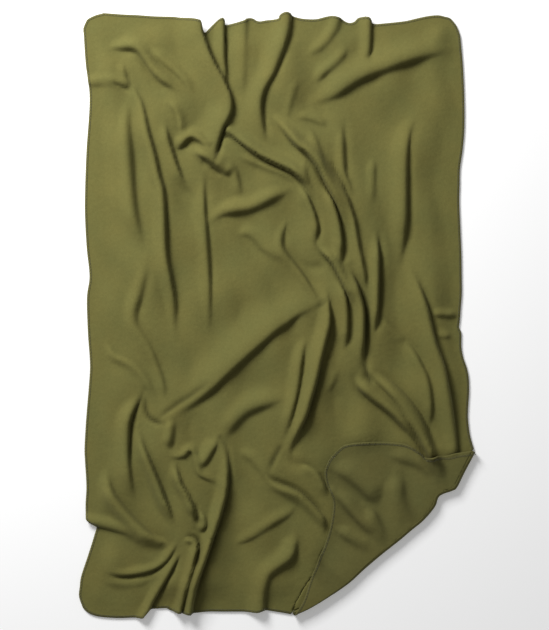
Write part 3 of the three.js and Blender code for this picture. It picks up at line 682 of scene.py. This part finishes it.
def round_about(tight):
    """1 at the corners of the tight cells, fading over the next few points."""
    rows, columns = tight.shape
    mark = np.zeros((rows + 1, columns + 1))
    for dy in (0, 1):
        for dx in (0, 1):
            corner = mark[dy:dy + rows, dx:dx + columns]
            np.maximum(corner, tight, out=corner)
    for _ in range(3):
        around = (mark[:-2, 1:-1] + mark[2:, 1:-1] + mark[1:-1, :-2] + mark[1:-1, 2:]) / 4
        mark[1:-1, 1:-1] = np.maximum(mark[1:-1, 1:-1], around)
    return mark


def without_turning_over(xy, uv, lean, columns, rows):
    """Eases the lean wherever it would push one grid line past the next."""
    order = np.lexsort((uv[:, 0].round(6), uv[:, 1].round(6)))
    base = xy[order].reshape(rows + 1, columns + 1, 2)
    push = lean[order].reshape(rows + 1, columns + 1, 2)
    for _ in range(EASE_ROUNDS):
        tight = (cell_areas(base + push) < TIGHTEST * cell_areas(base)).astype(float)
        push *= (1 - EASE * round_about(tight))[..., None]
    out = np.empty_like(lean)
    out[order] = push.reshape(-1, 2)
    return out, int(tight.sum())


print("easing rounds:", EASE_ROUNDS)

# %% [markdown]
# ## Cut the creases and lift the swells
# A crease is a stroke too, but it goes down and both its sides are alike. Soft valleys use the same bell
# with wider sizes, and broad swells lift whole groups of folds. Where strokes of one kind
# overlap, the larger value wins.

# %% Creases, valleys and swells
CREASE_SCALE = (0.65, 1.3)
VALLEY_SCALE = (0.6, 1.6)
SWELL_SCALE = 1.1
# each is too small to matter this many half widths away
CREASE_REACH = 3
SWELL_REACH = 2.4


def crease_relief(xy, creases, scale):
    """Depth of the creases at each point, in metres."""
    depth = np.zeros(len(xy))
    for deep, half, ends, path in creases:
        deep, half = scale[0] * deep, max(scale[1] * half, FINEST)
        near, distance, share, past, right = across_path(xy, path, CREASE_REACH * half * MM)
        bell = np.exp(-(distance / (half * MM)) ** 2 - (past / (half * MM)) ** 2)
        depth[near] = np.maximum(depth[near], deep * MM * bell * strength_along(share, ends))
    return depth


def swell_relief(xy):
    """Height of the broad swells at each point, in metres."""
    total = np.zeros(len(xy))
    for height, half, ends, path in PANEL_SWELLS:
        near, distance, share, past, right = across_path(xy, path, SWELL_REACH * half * MM)
        bell = np.exp(-(distance / (half * MM)) ** 2 - (past / (half * MM)) ** 2)
        total[near] = np.maximum(total[near], height * MM * bell * strength_along(share, ends))
    return SWELL_SCALE * total


print("crease scales:", CREASE_SCALE, "valley scales:", VALLEY_SCALE)

# %% [markdown]
# ## Slack between the folds
# Between its folds, fleece does not lie dead flat: it floats on its own nap and springs up a few
# millimetres. A handful of slow waves in different directions gives that, and it fades out at the hem.

# %% Slow waves
rng = np.random.RandomState(11)
SLACK = [(rng.uniform(0, math.pi), rng.uniform(.09, .24), rng.uniform(0, 2 * math.pi), rng.uniform(.4, 1))
         for _ in range(14)]
SLACK_SIZE = 1.7 * MM
SLACK_BEND = 0.03


def slack_height(xy):
    total = np.zeros(len(xy))
    for turn, length, phase, size in SLACK:
        along = xy[:, 0] * math.cos(turn) + xy[:, 1] * math.sin(turn)
        aside = xy[:, 1] * math.cos(turn) - xy[:, 0] * math.sin(turn)
        bend = SLACK_BEND * np.sin(7 * aside + phase)
        total += size * np.sin(2 * math.pi * (along + bend) / length + phase)
    return SLACK_SIZE * total


print("slow waves:", len(SLACK))

# %% [markdown]
# ## The height of the panel
# All the parts come together here: folds and slack as one surface, with creases and valleys cut into
# it. Near the hem and under the turned corner the surface is calmer, and it never goes
# below the ground: low places flatten out instead.

# %% The height of the panel
HEM_FADE = 0.09
COVER_FADE = (-0.035, 0.03)
NAP_FLOAT = 6.5 * MM
LOW_PLACES = 3 * MM
UNDER_COVER = 0.12
BLOCK = 4000
HEM_RIM = np.vstack([left_edge, top_edge, right_edge, fold_edge, near_edge])[::6]
FLAP_RIM = np.vstack([flap_top_edge, flap_left_edge, fold_edge[::-1]])[::8]


def nearest_distance(xy, line):
    """Distance from each point to the nearest point of a line, in blocks so as to spare memory."""
    out = np.empty(len(xy))
    for start in range(0, len(xy), BLOCK):
        block = xy[start:start + BLOCK]
        out[start:start + BLOCK] = np.sqrt(((block[:, None, :] - line[None]) ** 2).sum(-1).min(1))
    return out


def under_flap(xy):
    """How deep a point is inside the turned corner's cover, in metres; below zero outside it."""
    inside = np.zeros(len(xy), bool)
    for a, b in zip(FLAP_RIM, np.roll(FLAP_RIM, -1, axis=0)):
        crosses = (a[1] > xy[:, 1]) != (b[1] > xy[:, 1])
        at = a[0] + (b[0] - a[0]) * (xy[:, 1] - a[1]) / (b[1] - a[1] + 1e-12)
        inside ^= crosses & (xy[:, 0] < at)
    out = nearest_distance(xy, FLAP_RIM)
    return np.where(inside, out, -out)


def panel_height(xy):
    """Height of the panel's middle surface, and how far each point leans sideways."""
    folds, lean = fold_relief(xy, PANEL_FOLDS)
    rim = smoothstep(nearest_distance(xy, HEM_RIM), 0.0, HEM_FADE)
    cover = smoothstep(-under_flap(xy), *COVER_FADE)
    slack = (NAP_FLOAT + slack_height(xy)) * rim
    rise = np.sqrt(folds ** 2 + np.maximum(slack, 0) ** 2) + swell_relief(xy) * rim
    rise -= np.sqrt(crease_relief(xy, PANEL_CREASES, CREASE_SCALE) ** 2
                    + crease_relief(xy, PANEL_VALLEYS, VALLEY_SCALE) ** 2)
    rise = np.where(rise > LOW_PLACES, rise, LOW_PLACES * np.exp(np.minimum(rise / LOW_PLACES - 1, 0)))
    rise *= UNDER_COVER + (1 - UNDER_COVER) * cover
    return FLEECE / 2 + HEM_LIFT + rise, lean * cover[:, None]


print("points on the rim:", len(HEM_RIM), "and round the turned corner:", len(FLAP_RIM))

# %% [markdown]
# ## The panel
# The sheet starts as a plain grid, one cell 6.5 mm wide, the way a sculptor would start from a plane.
# Its four sides are pulled on to the outline and the inside follows them evenly. Where the corner is
# turned back, the two last sides both run along the fold and meet halfway.

# %% Lay a grid on four edges
def lay_grid(name, columns, rows, bottom, top, left, right):
    """A grid whose sides lie on four curves. Returns the object, its sheet shares and its places."""
    deselect_all()
    bpy.ops.mesh.primitive_grid_add(x_subdivisions=columns, y_subdivisions=rows, size=2, location=(0, 0, 0))
    piece = bpy.context.object
    piece.name = name
    count = len(piece.data.vertices)
    flat = np.empty(count * 3)
    piece.data.vertices.foreach_get("co", flat)
    uv = (flat.reshape(-1, 3)[:, :2] + 1) / 2
    u, v = uv[:, :1], uv[:, 1:]
    iu = np.rint(uv[:, 0] * columns).astype(int)
    iv = np.rint(uv[:, 1] * rows).astype(int)
    near, far = even_points(bottom, columns + 1), even_points(top, columns + 1)
    west, east = even_points(left, rows + 1), even_points(right, rows + 1)
    place = ((1 - v) * near[iu] + v * far[iu] + (1 - u) * west[iv] + u * east[iv]
             - (1 - u) * (1 - v) * near[0] - u * (1 - v) * near[-1]
             - (1 - u) * v * far[0] - u * v * far[-1])
    return piece, uv, place


def set_places(piece, xy, z):
    piece.data.vertices.foreach_set("co", np.column_stack([xy, z]).ravel())
    piece.data.update()


FOLD_POINTS = 241
# so many points of a hem are left out next to the fold, where they would crowd
CROWDED = 4
fold_run = even_points(fold_edge, FOLD_POINTS)
fold_along = eased(unit(np.gradient(fold_run, axis=0)), 8)
fold_out = np.column_stack([-fold_along[:, 1], fold_along[:, 0]])
# the line where the sheet leaves the ground is one roll radius inside the fold
roll_line = fold_run - (ROLL_RADIUS + FLEECE / 2) * fold_out
middle = len(roll_line) // 2
panel_near = np.vstack([near_edge[:-CROWDED], roll_line[::-1][:middle + 1]])
panel_right = np.vstack([roll_line[:middle + 1][::-1], right_edge[::-1][CROWDED:]])
panel, panel_uv, panel_xy = lay_grid("fleece_panel_cloth", GRID_COLUMNS, GRID_ROWS, panel_near, top_edge,
                                     left_edge, panel_right)
panel_z, panel_lean = panel_height(panel_xy)
panel_lean, still_tight = without_turning_over(panel_xy, panel_uv, panel_lean, GRID_COLUMNS, GRID_ROWS)
print("grid cells that are still tight:", still_tight)
set_places(panel, panel_xy + panel_lean, panel_z)
print("panel:", len(panel.data.vertices), "points, highest", round(panel_z.max() * 1000), "mm")


# %% [markdown]
# ## Paint shade into the creases
# Tight creases and the feet of steep sides get painted shade in their colour, on top of what the
# shape itself casts. How dark each point is painted gets stored at every point of the sheet as an
# attribute, which the material reads later. It is written before the sheet gets its thickness, so both
# faces carry it.

# %% Paint shade into the creases
# half width of the painted shade along a crease, in mm
CREASE_MARK = 5.5
# a crease this deep and a fold this high, in mm in the tables, get the full painted shade
FULL_CREASE = 14
FULL_FOLD = 20
# the painted shadow at the foot of a steep side: its width in steep widths, and its strength
FOOT_WIDTH = 0.6
FOOT_SHARE = 0.55


def painted_crease_shade(xy, folds, creases):
    """How dark the painted shade is, 0 to 1: in a crease, and at the foot of a steep side."""
    painted_shade = np.zeros(len(xy))
    for deep, half, ends, path in creases:
        near, distance, share, past, right = across_path(xy, path, CREASE_REACH * FINEST * MM)
        bell = np.exp(-(distance / (CREASE_MARK * MM)) ** 2 - (past / (FINEST * MM)) ** 2)
        bell *= min(1, deep / FULL_CREASE) * strength_along(share, ends)
        painted_shade[near] = np.maximum(painted_shade[near], bell)
    for height, gentle, steep, lean, drop, ends, path in folds:
        width = max(FOLD_SCALE[2] * steep, FINEST)
        near, distance, share, past, right = across_path(xy, path, CREASE_REACH * width * MM)
        foot = distance / (width * MM)
        bell = np.exp(-(foot / FOOT_WIDTH) ** 2 - (past / (FINEST * MM)) ** 2)
        bell *= FOOT_SHARE * min(1, height / FULL_FOLD) * strength_along(share, ends)
        painted_shade[near] = np.maximum(painted_shade[near], bell)
    return painted_shade


def store_painted_crease_shade(piece, painted_shade):
    mark = piece.data.attributes.new("painted_crease_shade", "FLOAT", "POINT")
    mark.data.foreach_set("value", painted_shade)


# painted shade for the creases and the feet of steep sides, stored on the panel
store_painted_crease_shade(panel, painted_crease_shade(panel_xy, PANEL_FOLDS, PANEL_CREASES))
print("nap marked on", len(panel.data.vertices), "points")

# %% [markdown]
# ## Thickness
# So far the panel is a single surface in the middle of the cloth. A Solidify modifier adds the same
# amount on both faces, as a real sheet has, and closes the cut edge. It is applied at once
# so the later steps work on plain faces.

# %% Give the sheet its thickness
def thicken(piece):
    select_only(piece)
    layer = piece.modifiers.new("thickness", "SOLIDIFY")
    layer.thickness = FLEECE
    layer.offset = 0
    layer.use_even_offset = False
    bpy.ops.object.modifier_apply(modifier=layer.name)


thicken(panel)
finish_mesh(panel, "fleece_panel_cloth")
print("panel:", len(panel.data.polygons), "faces")

# %% [markdown]
# ## The turned corner
# It is the same sheet, folded over. The part on top is laid on its own two hems, and it rests on what is
# under it, so its height starts from the panel's own. A half round roll joins it to the panel.

# %% The flap's own height
FLAP_GRID = 84
# distances from the roll over which the flap sinks to its rest and its folds reach full height
FLAP_SETTLE = 0.13
FLAP_CALM = 0.11
FLAP_FOLD_SHARE = 0.75
RIPPLE = 1.2 * MM
flap, _, flap_xy = lay_grid("turned_corner_cloth", FLAP_GRID, FLAP_GRID, roll_line[middle:],
                            flap_top_edge, roll_line[:middle + 1][::-1], flap_left_edge[::-1])


def flap_height(xy):
    """Middle surface of the turned corner. It hangs from the roll down to what it rests on."""
    under, _ = panel_height(xy)
    folds, lean = fold_relief(xy, FLAP_FOLDS)
    from_roll = nearest_distance(xy, roll_line[::2])
    rest = under + FLEECE + RIPPLE + RIPPLE * (1 + np.sin(38 * xy[:, 0] + 21 * xy[:, 1]))
    top = 2 * ROLL_RADIUS + FLEECE / 2 + HEM_LIFT
    near_roll = 1 - smoothstep(from_roll, 0.0, FLAP_SETTLE)
    calm = smoothstep(from_roll, 0.0, FLAP_CALM)
    base = rest + np.maximum(top - rest, 0) * near_roll
    return base + FLAP_FOLD_SHARE * folds * calm, lean * calm[:, None]


flap_z, flap_lean = flap_height(flap_xy)
set_places(flap, flap_xy + flap_lean, flap_z)
# painted shade at the feet of the turned corner's folds, stored on the flap
store_painted_crease_shade(flap, painted_crease_shade(flap_xy, FLAP_FOLDS, []))
print("flap:", len(flap.data.vertices), "points,", round(flap_z.min() * 1000, 1), "to",
      round(flap_z.max() * 1000, 1), "mm high")

# %% [markdown]
# ## The roll at the fold line
# Where the corner turns over, the cloth bends round in a half circle instead of creasing flat. Rings of
# points are laid round that half circle and joined to the flap's nearest edge, so that sheet
# and roll are one piece of cloth.

# %% Add the roll to the flap
ROLL_STEPS = 10
SAME_PLACE = 0.4 * MM


def add_roll(piece, line, out):
    """A half round strip from the ground up to the flap, sewn on along the fold."""
    mesh = bmesh.new()
    mesh.from_mesh(piece.data)
    rings = []
    for step in range(ROLL_STEPS + 1):
        angle = math.pi * step / ROLL_STEPS
        ring = []
        for (x, y), (ox, oy) in zip(line, out):
            reach = ROLL_RADIUS * math.sin(angle)
            height = FLEECE / 2 + HEM_LIFT + ROLL_RADIUS * (1 - math.cos(angle))
            ring.append(mesh.verts.new((x + ox * reach, y + oy * reach, height)))
        rings.append(ring)
    for low, high in zip(rings, rings[1:]):
        for i in range(len(line) - 1):
            mesh.faces.new((low[i], low[i + 1], high[i + 1], high[i]))
    bmesh.ops.remove_doubles(mesh, verts=mesh.verts, dist=SAME_PLACE)
    bmesh.ops.recalc_face_normals(mesh, faces=mesh.faces)
    mesh.to_mesh(piece.data)
    mesh.free()


lower_half = even_points(np.column_stack([roll_line[middle:], fold_out[middle:]]), FLAP_GRID + 1)
upper_half = even_points(np.column_stack([roll_line[:middle + 1], fold_out[:middle + 1]]), FLAP_GRID + 1)
whole = np.vstack([upper_half, lower_half[1:]])
add_roll(flap, whole[:, :2], whole[:, 2:])
thicken(flap)
finish_mesh(flap, "turned_corner_cloth")
print("flap with roll:", len(flap.data.polygons), "faces")

# %% [markdown]
# ## Shader building blocks
# Cloth and thread are both made from a few of Blender's nodes: a noise for what is uneven, a colour ramp
# to turn it into colour, a product to lay one pattern over another, and a bump for what is too fine to
# model. The noise reads the piece's own coordinates, so the pattern stays in the cloth.

# %% Shader helpers
def new_material(name):
    material = bpy.data.materials.new(name)
    material.use_nodes = True
    tree = material.node_tree
    return material, tree, tree.nodes["Principled BSDF"], tree.nodes.new("ShaderNodeTexCoord")


def add_noise(tree, place, scale, detail=2, roughness=0.55):
    node = tree.nodes.new("ShaderNodeTexNoise")
    node.inputs["Scale"].default_value = scale
    node.inputs["Detail"].default_value = detail
    node.inputs["Roughness"].default_value = roughness
    tree.links.new(place.outputs["Object"], node.inputs["Vector"])
    return node.outputs["Fac"]


def add_ramp(tree, source, low, high, first, last):
    node = tree.nodes.new("ShaderNodeValToRGB")
    node.color_ramp.elements[0].position = low
    node.color_ramp.elements[1].position = high
    node.color_ramp.elements[0].color = first
    node.color_ramp.elements[1].color = last
    tree.links.new(source, node.inputs["Fac"])
    return node.outputs["Color"]


def add_product(tree, first, second, amount):
    node = tree.nodes.new("ShaderNodeMix")
    node.data_type = "RGBA"
    node.blend_type = "MULTIPLY"
    node.inputs[0].default_value = amount
    tree.links.new(first, node.inputs[6])
    tree.links.new(second, node.inputs[7])
    return node.outputs[2]


def add_bump(tree, height, strength, distance):
    node = tree.nodes.new("ShaderNodeBump")
    node.inputs["Strength"].default_value = strength
    node.inputs["Distance"].default_value = distance
    tree.links.new(height, node.inputs["Height"])
    return node


def tinted(colour, shares):
    return tuple(c * share for c, share in zip(colour, shares)) + (1,)


def dress(pieces, material):
    for piece in pieces:
        piece.data.materials.clear()
        piece.data.materials.append(material)


WHITE = (1, 1, 1, 1)
print("shader helpers ready")

# %% [markdown]
# ## Fleece
# Brushed polyester fleece has no weave to see, only a nap: short fibres that stand up and scatter light.
# Principled gives the matt colour and sheen gives the pale bloom on slopes. A fine noise bump gives
# the nap and slow noises give the uneven dye. The stored attribute darkens the colour as painted shade
# in the creases and at the feet of steep sides, and the turned corner gets a darker copy of the colour
# as painted shade for the dimmer light there.

# %% The fleece material
OLIVE = (0.176, 0.162, 0.048)
# painted shade: the turned corner's olive is made darker to stand for the dimmer light at that corner
OLIVE_SHADED_CORNER = (0.142, 0.131, 0.041)
# painted shade: the colour that creases and the feet of steep sides are darkened towards
CREASE_SHADE_COLOUR = (.42, .42, .42, 1)


def fleece_material(name, colour):
    material, tree, shader, place = new_material(name)
    shader.inputs["Roughness"].default_value = 0.92
    shader.inputs["Specular IOR Level"].default_value = 0.15
    shader.inputs["Sheen Weight"].default_value = 0.12
    shader.inputs["Sheen Roughness"].default_value = 0.45
    shader.inputs["Sheen Tint"].default_value = (0.62, 0.60, 0.38, 1)
    dye = add_ramp(tree, add_noise(tree, place, 9, 4), 0.3, 0.7,
                   tinted(colour, (.93, .97, .98)), tinted(colour, (1.05, 1.03, 1.0)))
    nap = add_ramp(tree, add_noise(tree, place, 420, 4, 0.7), 0.32, 0.68, (.80, .80, .78, 1), WHITE)
    pills = add_ramp(tree, add_noise(tree, place, 120, 3), 0.35, 0.7, (.90, .90, .88, 1), WHITE)
    # painted shade in the creases and at fold feet, read from the stored attribute and laid over the colour
    painted_shade = tree.nodes.new("ShaderNodeAttribute")
    painted_shade.attribute_name = "painted_crease_shade"
    shade = add_ramp(tree, painted_shade.outputs["Fac"], 0.0, 1.0, WHITE, CREASE_SHADE_COLOUR)
    result = add_product(tree, dye, nap, 0.8)
    result = add_product(tree, result, pills, 0.7)
    result = add_product(tree, result, shade, 1.0)
    tree.links.new(result, shader.inputs["Base Color"])
    fine = add_bump(tree, add_noise(tree, place, 700, 3, 0.7), 0.35, 0.0012)
    soft = add_bump(tree, add_noise(tree, place, 60, 3), 0.25, 0.004)
    tree.links.new(soft.outputs["Normal"], fine.inputs["Normal"])
    tree.links.new(fine.outputs["Normal"], shader.inputs["Normal"])
    return material


fleece = fleece_material("olive_fleece", OLIVE)
fleece_shaded_corner = fleece_material("olive_fleece_shaded_corner", OLIVE_SHADED_CORNER)
dress([panel], fleece)
# the turned corner gets the darker copy, painted shade for the dimmer light there
dress([flap], fleece_shaded_corner)
print("fleece material:", len(fleece.node_tree.nodes), "nodes")

# %% [markdown]
# ## The overlocked edge
# The hem is not turned: a serger trims the edge and wraps it in three threads. A needle thread runs
# along the top about 6 mm in, and two looper threads zigzag between it and the edge, one above and one
# below. A stitch is 8.5 mm long, large enough to see, so they are real tubes and not a painted line.

# %% Surfaces that the thread follows
STITCH = 8.5 * MM
BITE = 6 * MM
THREAD = 0.42 * MM


def panel_surface(xy):
    z, lean = panel_height(xy)
    return np.column_stack([xy + lean, z])


def flap_surface(xy):
    z, lean = flap_height(xy)
    return np.column_stack([xy + lean, z])


def quarter_stitches(length):
    """How many points a hem of this length needs, four to a stitch."""
    return 4 * int(round(length / STITCH)) + 1


def hem_frame(path, surface, inside):
    """The hem in steps of a quarter stitch: edge, the line one bite in, and the up direction."""
    xy = even_points(path, quarter_stitches(np.linalg.norm(np.diff(path, axis=0), axis=1).sum()))
    along = eased(np.gradient(xy, axis=0), 10)
    inner = xy + BITE * inside * np.column_stack([-along[:, 1], along[:, 0]])
    edge_line, inner_line = surface(xy), surface(inner)
    inner_line = edge_line + BITE * unit(inner_line - edge_line)
    up = unit(np.cross(np.gradient(edge_line, axis=0), inside * (inner_line - edge_line)))
    return edge_line, inner_line, up


def roll_frame(tip, out, inward, rising):
    """The same three lines where the hem goes round the roll at one end of the fold."""
    count = quarter_stitches(math.pi * ROLL_RADIUS)
    angle = np.linspace(0, math.pi, count) if rising else np.linspace(math.pi, 0, count)
    edge_line = np.column_stack([tip[0] + out[0] * ROLL_RADIUS * np.sin(angle),
                                 tip[1] + out[1] * ROLL_RADIUS * np.sin(angle),
                                 FLEECE / 2 + HEM_LIFT + ROLL_RADIUS * (1 - np.cos(angle))])
    inner_line = edge_line + BITE * np.array([inward[0], inward[1], 0])
    up = np.column_stack([-out[0] * np.sin(angle), -out[1] * np.sin(angle), np.cos(angle)])
    return edge_line, inner_line, up


panel_hem = np.vstack([near_edge[::-1][:-1], left_edge[:-1], top_edge[:-1], right_edge])
panel_frame = hem_frame(panel_hem, panel_surface, -1)
flap_hem = np.vstack([flap_top_edge[:-1], flap_left_edge])
tip_a, tip_b = roll_line[0], roll_line[-1]
to_b = (tip_b - tip_a) / np.linalg.norm(tip_b - tip_a)
first = roll_frame(tip_a, fold_out[0], to_b, True)
last = roll_frame(tip_b, fold_out[-1], -to_b, False)
top_hem = hem_frame(flap_hem, flap_surface, 1)
corner_frame = [np.vstack([a[:-1], b[:-1], c]) for a, b, c in zip(first, top_hem, last)]
print("stitches:", (len(panel_frame[0]) + len(corner_frame[0])) // 4)

# %% [markdown]
# ## Sew the thread
# Each of the three threads is a thin round tube along its own line. A curve with a bevel draws that tube,
# and is made a mesh at once. The heights over one stitch, four points long, let the threads pass
# over and under each other. The panel's hem and the turned corner's hem get a set each.

# %% Thread as tubes
# over the four points of a stitch: the needle thread's lift in thread sizes, and the loopers' place between
# the edge (0) and the needle line (1) and their lift in half the cloth and one thread
NEEDLE_LIFT = np.array([0.2, 1.0, 1.25, 1.0])
LOOPER_PLACE = np.array([1.0, 0.5, -0.10, 0.5])
LOOPER_LIFT = np.array([1.0, 1.15, 0.1, 1.15])


def thread_piece(name, points):
    """A round thread along the points, drawn as a curve and then made a mesh."""
    deselect_all()
    data = bpy.data.curves.new(name, "CURVE")
    data.dimensions = "3D"
    data.bevel_depth = THREAD
    data.bevel_resolution = 1
    data.use_fill_caps = True
    line = data.splines.new("POLY")
    line.points.add(len(points) - 1)
    line.points.foreach_set("co", np.column_stack([points, np.ones(len(points))]).ravel())
    piece = bpy.data.objects.new(name, data)
    bpy.context.scene.collection.objects.link(piece)
    select_only(piece)
    bpy.ops.object.convert(target="MESH")
    return finish_mesh(bpy.context.object, name)


def needle_points(frame_lines):
    edge_line, inner_line, up = frame_lines
    step = np.arange(len(edge_line)) % 4
    lift = NEEDLE_LIFT[step] * THREAD
    return inner_line + (FLEECE / 2 + lift)[:, None] * up


def looper_points(frame_lines, side):
    """Zigzag between the needle line and the edge, on the upper (+1) or under (-1) face."""
    edge_line, inner_line, up = frame_lines
    step = np.arange(len(edge_line)) % 4
    across = LOOPER_PLACE[step][:, None]
    lift = LOOPER_LIFT[step] * (FLEECE / 2 + THREAD)
    return edge_line + across * (inner_line - edge_line) + (side * lift)[:, None] * up


thread_pieces = {}
for label, lines in (("hem", panel_frame), ("corner", corner_frame)):
    thread_pieces[label] = [
        thread_piece(label + "_needle_stitches", needle_points(lines)),
        thread_piece(label + "_upper_looper_stitches", looper_points(lines, 1)),
        thread_piece(label + "_lower_looper_stitches", looper_points(lines, -1))]
for pieces in thread_pieces.values():
    print([(piece.name, len(piece.data.polygons)) for piece in pieces])


# %% [markdown]
# ## Thread finish
# Sewing thread is smooth polyester, twisted tightly, so it is a little shinier than the fleece and
# darker, because light sinks in between its plies. A fine noise stands for the twist.

# %% The thread material
THREAD_OLIVE = (0.080, 0.078, 0.032)


def thread_material(name, colour):
    """Twisted polyester: a darker olive with a faint gloss and a fine ply."""
    material, tree, shader, place = new_material(name)
    shader.inputs["Roughness"].default_value = 0.6
    shader.inputs["Sheen Weight"].default_value = 0.2
    ply = add_noise(tree, place, 900, roughness=0.5)
    dark, light = tinted(colour, (0.75, 0.75, 0.75)), tinted(colour, (1.2, 1.2, 1.2))
    tone = add_ramp(tree, ply, 0.35, 0.65, dark, light)
    tree.links.new(tone, shader.inputs["Base Color"])
    bump = add_bump(tree, ply, 0.4, 0.0003)
    tree.links.new(bump.outputs["Normal"], shader.inputs["Normal"])
    return material


thread = thread_material("olive_thread", THREAD_OLIVE)
for pieces in thread_pieces.values():
    dress(pieces, thread)
print("thread material:", len(thread.node_tree.nodes), "nodes")

# %% [markdown]
# ## Joining the frame
# The panel belongs to the body that stays on the ground, and so do the threads of its hem. The turned
# corner and its threads only have their placement baked into their points, and nothing joins them to a
# body.


def bend_at_fold(piece):
    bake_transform(piece)


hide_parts("fleece_panel")
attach(panel, "blanket")
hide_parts("turned_corner")
bend_at_fold(flap)
for piece, node in zip(thread_pieces["hem"], ("needle_thread", "upper_looper_thread",
                                              "lower_looper_thread")):
    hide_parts(node)
    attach(piece, "blanket")
for piece, node in zip(thread_pieces["corner"], ("corner_needle_thread", "corner_upper_looper_thread",
                                                 "corner_lower_looper_thread")):
    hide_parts(node)
    bend_at_fold(piece)
print("pieces joined to the frame")

# %% [markdown]
# ## Floor
# The blanket lies on a plain pale surface. A wide sheet is enough; it is far larger than the view from
# above, and it catches the soft shadow that tells the eye where the cloth touches.

# %% The floor
FLOOR_SIZE = 14
FLOOR_DROP = 0.5 * MM
deselect_all()
bpy.ops.mesh.primitive_plane_add(size=FLOOR_SIZE, location=(0, 0, -FLOOR_DROP))
floor = bpy.context.object
floor.name = "studio_floor"
floor_paper = bpy.data.materials.new("white_paper")
floor_paper.use_nodes = True
paper = floor_paper.node_tree.nodes["Principled BSDF"]
paper.inputs["Base Color"].default_value = (0.93, 0.93, 0.93, 1)
paper.inputs["Roughness"].default_value = 0.9
paper.inputs["Specular IOR Level"].default_value = 0.0
paper.inputs["Emission Color"].default_value = (1, 1, 1, 1)
paper.inputs["Emission Strength"].default_value = 0.2
floor.data.materials.append(floor_paper)
print("floor, m:", FLOOR_SIZE)

# %% [markdown]
# ## Light
# Folds in cloth of one colour are seen only by their shading. A single large soft lamp stands
# beyond the head of the blanket and to the left, so every fold gets a lit side and a soft dark side.
# The even light of the surroundings keeps the dark sides from going black.

# %% The light
LAMP_PLACE = (-1.9, 2.6, 2.3)
LAMP_SIZE = 1.6
LAMP_POWER = 196
ROOM_LIGHT = 0.23
deselect_all()
bpy.ops.object.light_add(type="AREA", location=LAMP_PLACE)
key = bpy.context.object
key.name = "window_light"
key.data.shape = "SQUARE"
key.data.size = LAMP_SIZE
key.data.energy = LAMP_POWER
key.rotation_euler = (Vector((0, 0, 0)) - key.location).to_track_quat("-Z", "Y").to_euler()
sky = bpy.data.worlds.new("soft_room")
bpy.context.scene.world = sky
sky.use_nodes = True
sky.node_tree.nodes["Background"].inputs["Color"].default_value = (1, 1, 1, 1)
sky.node_tree.nodes["Background"].inputs["Strength"].default_value = ROOM_LIGHT
bpy.context.scene.view_settings.view_transform = "Standard"
print("lamp, W:", LAMP_POWER, "room light:", ROOM_LIGHT)

# %% [markdown]
# ## Camera
# The camera looks straight down from a distance, with a long lens, so that the blanket is seen in its
# true outline with hardly any perspective.

# %% The camera
CAMERA_LENS = 85
SENSOR = 36
VIEW_HEIGHT = 1.808
VIEW_CENTRE = (-0.0071, 0.0006)
camera_data = bpy.data.cameras.new("above")
camera_data.lens = CAMERA_LENS
camera_data.sensor_width = SENSOR
camera = bpy.data.objects.new("above", camera_data)
bpy.context.scene.collection.objects.link(camera)
distance = (VIEW_HEIGHT / 2) / (SENSOR / 2 / CAMERA_LENS)
camera.location = (*VIEW_CENTRE, distance)
camera.rotation_euler = (0, 0, 0)
bpy.context.scene.camera = camera
print("camera height, m:", round(distance, 2))
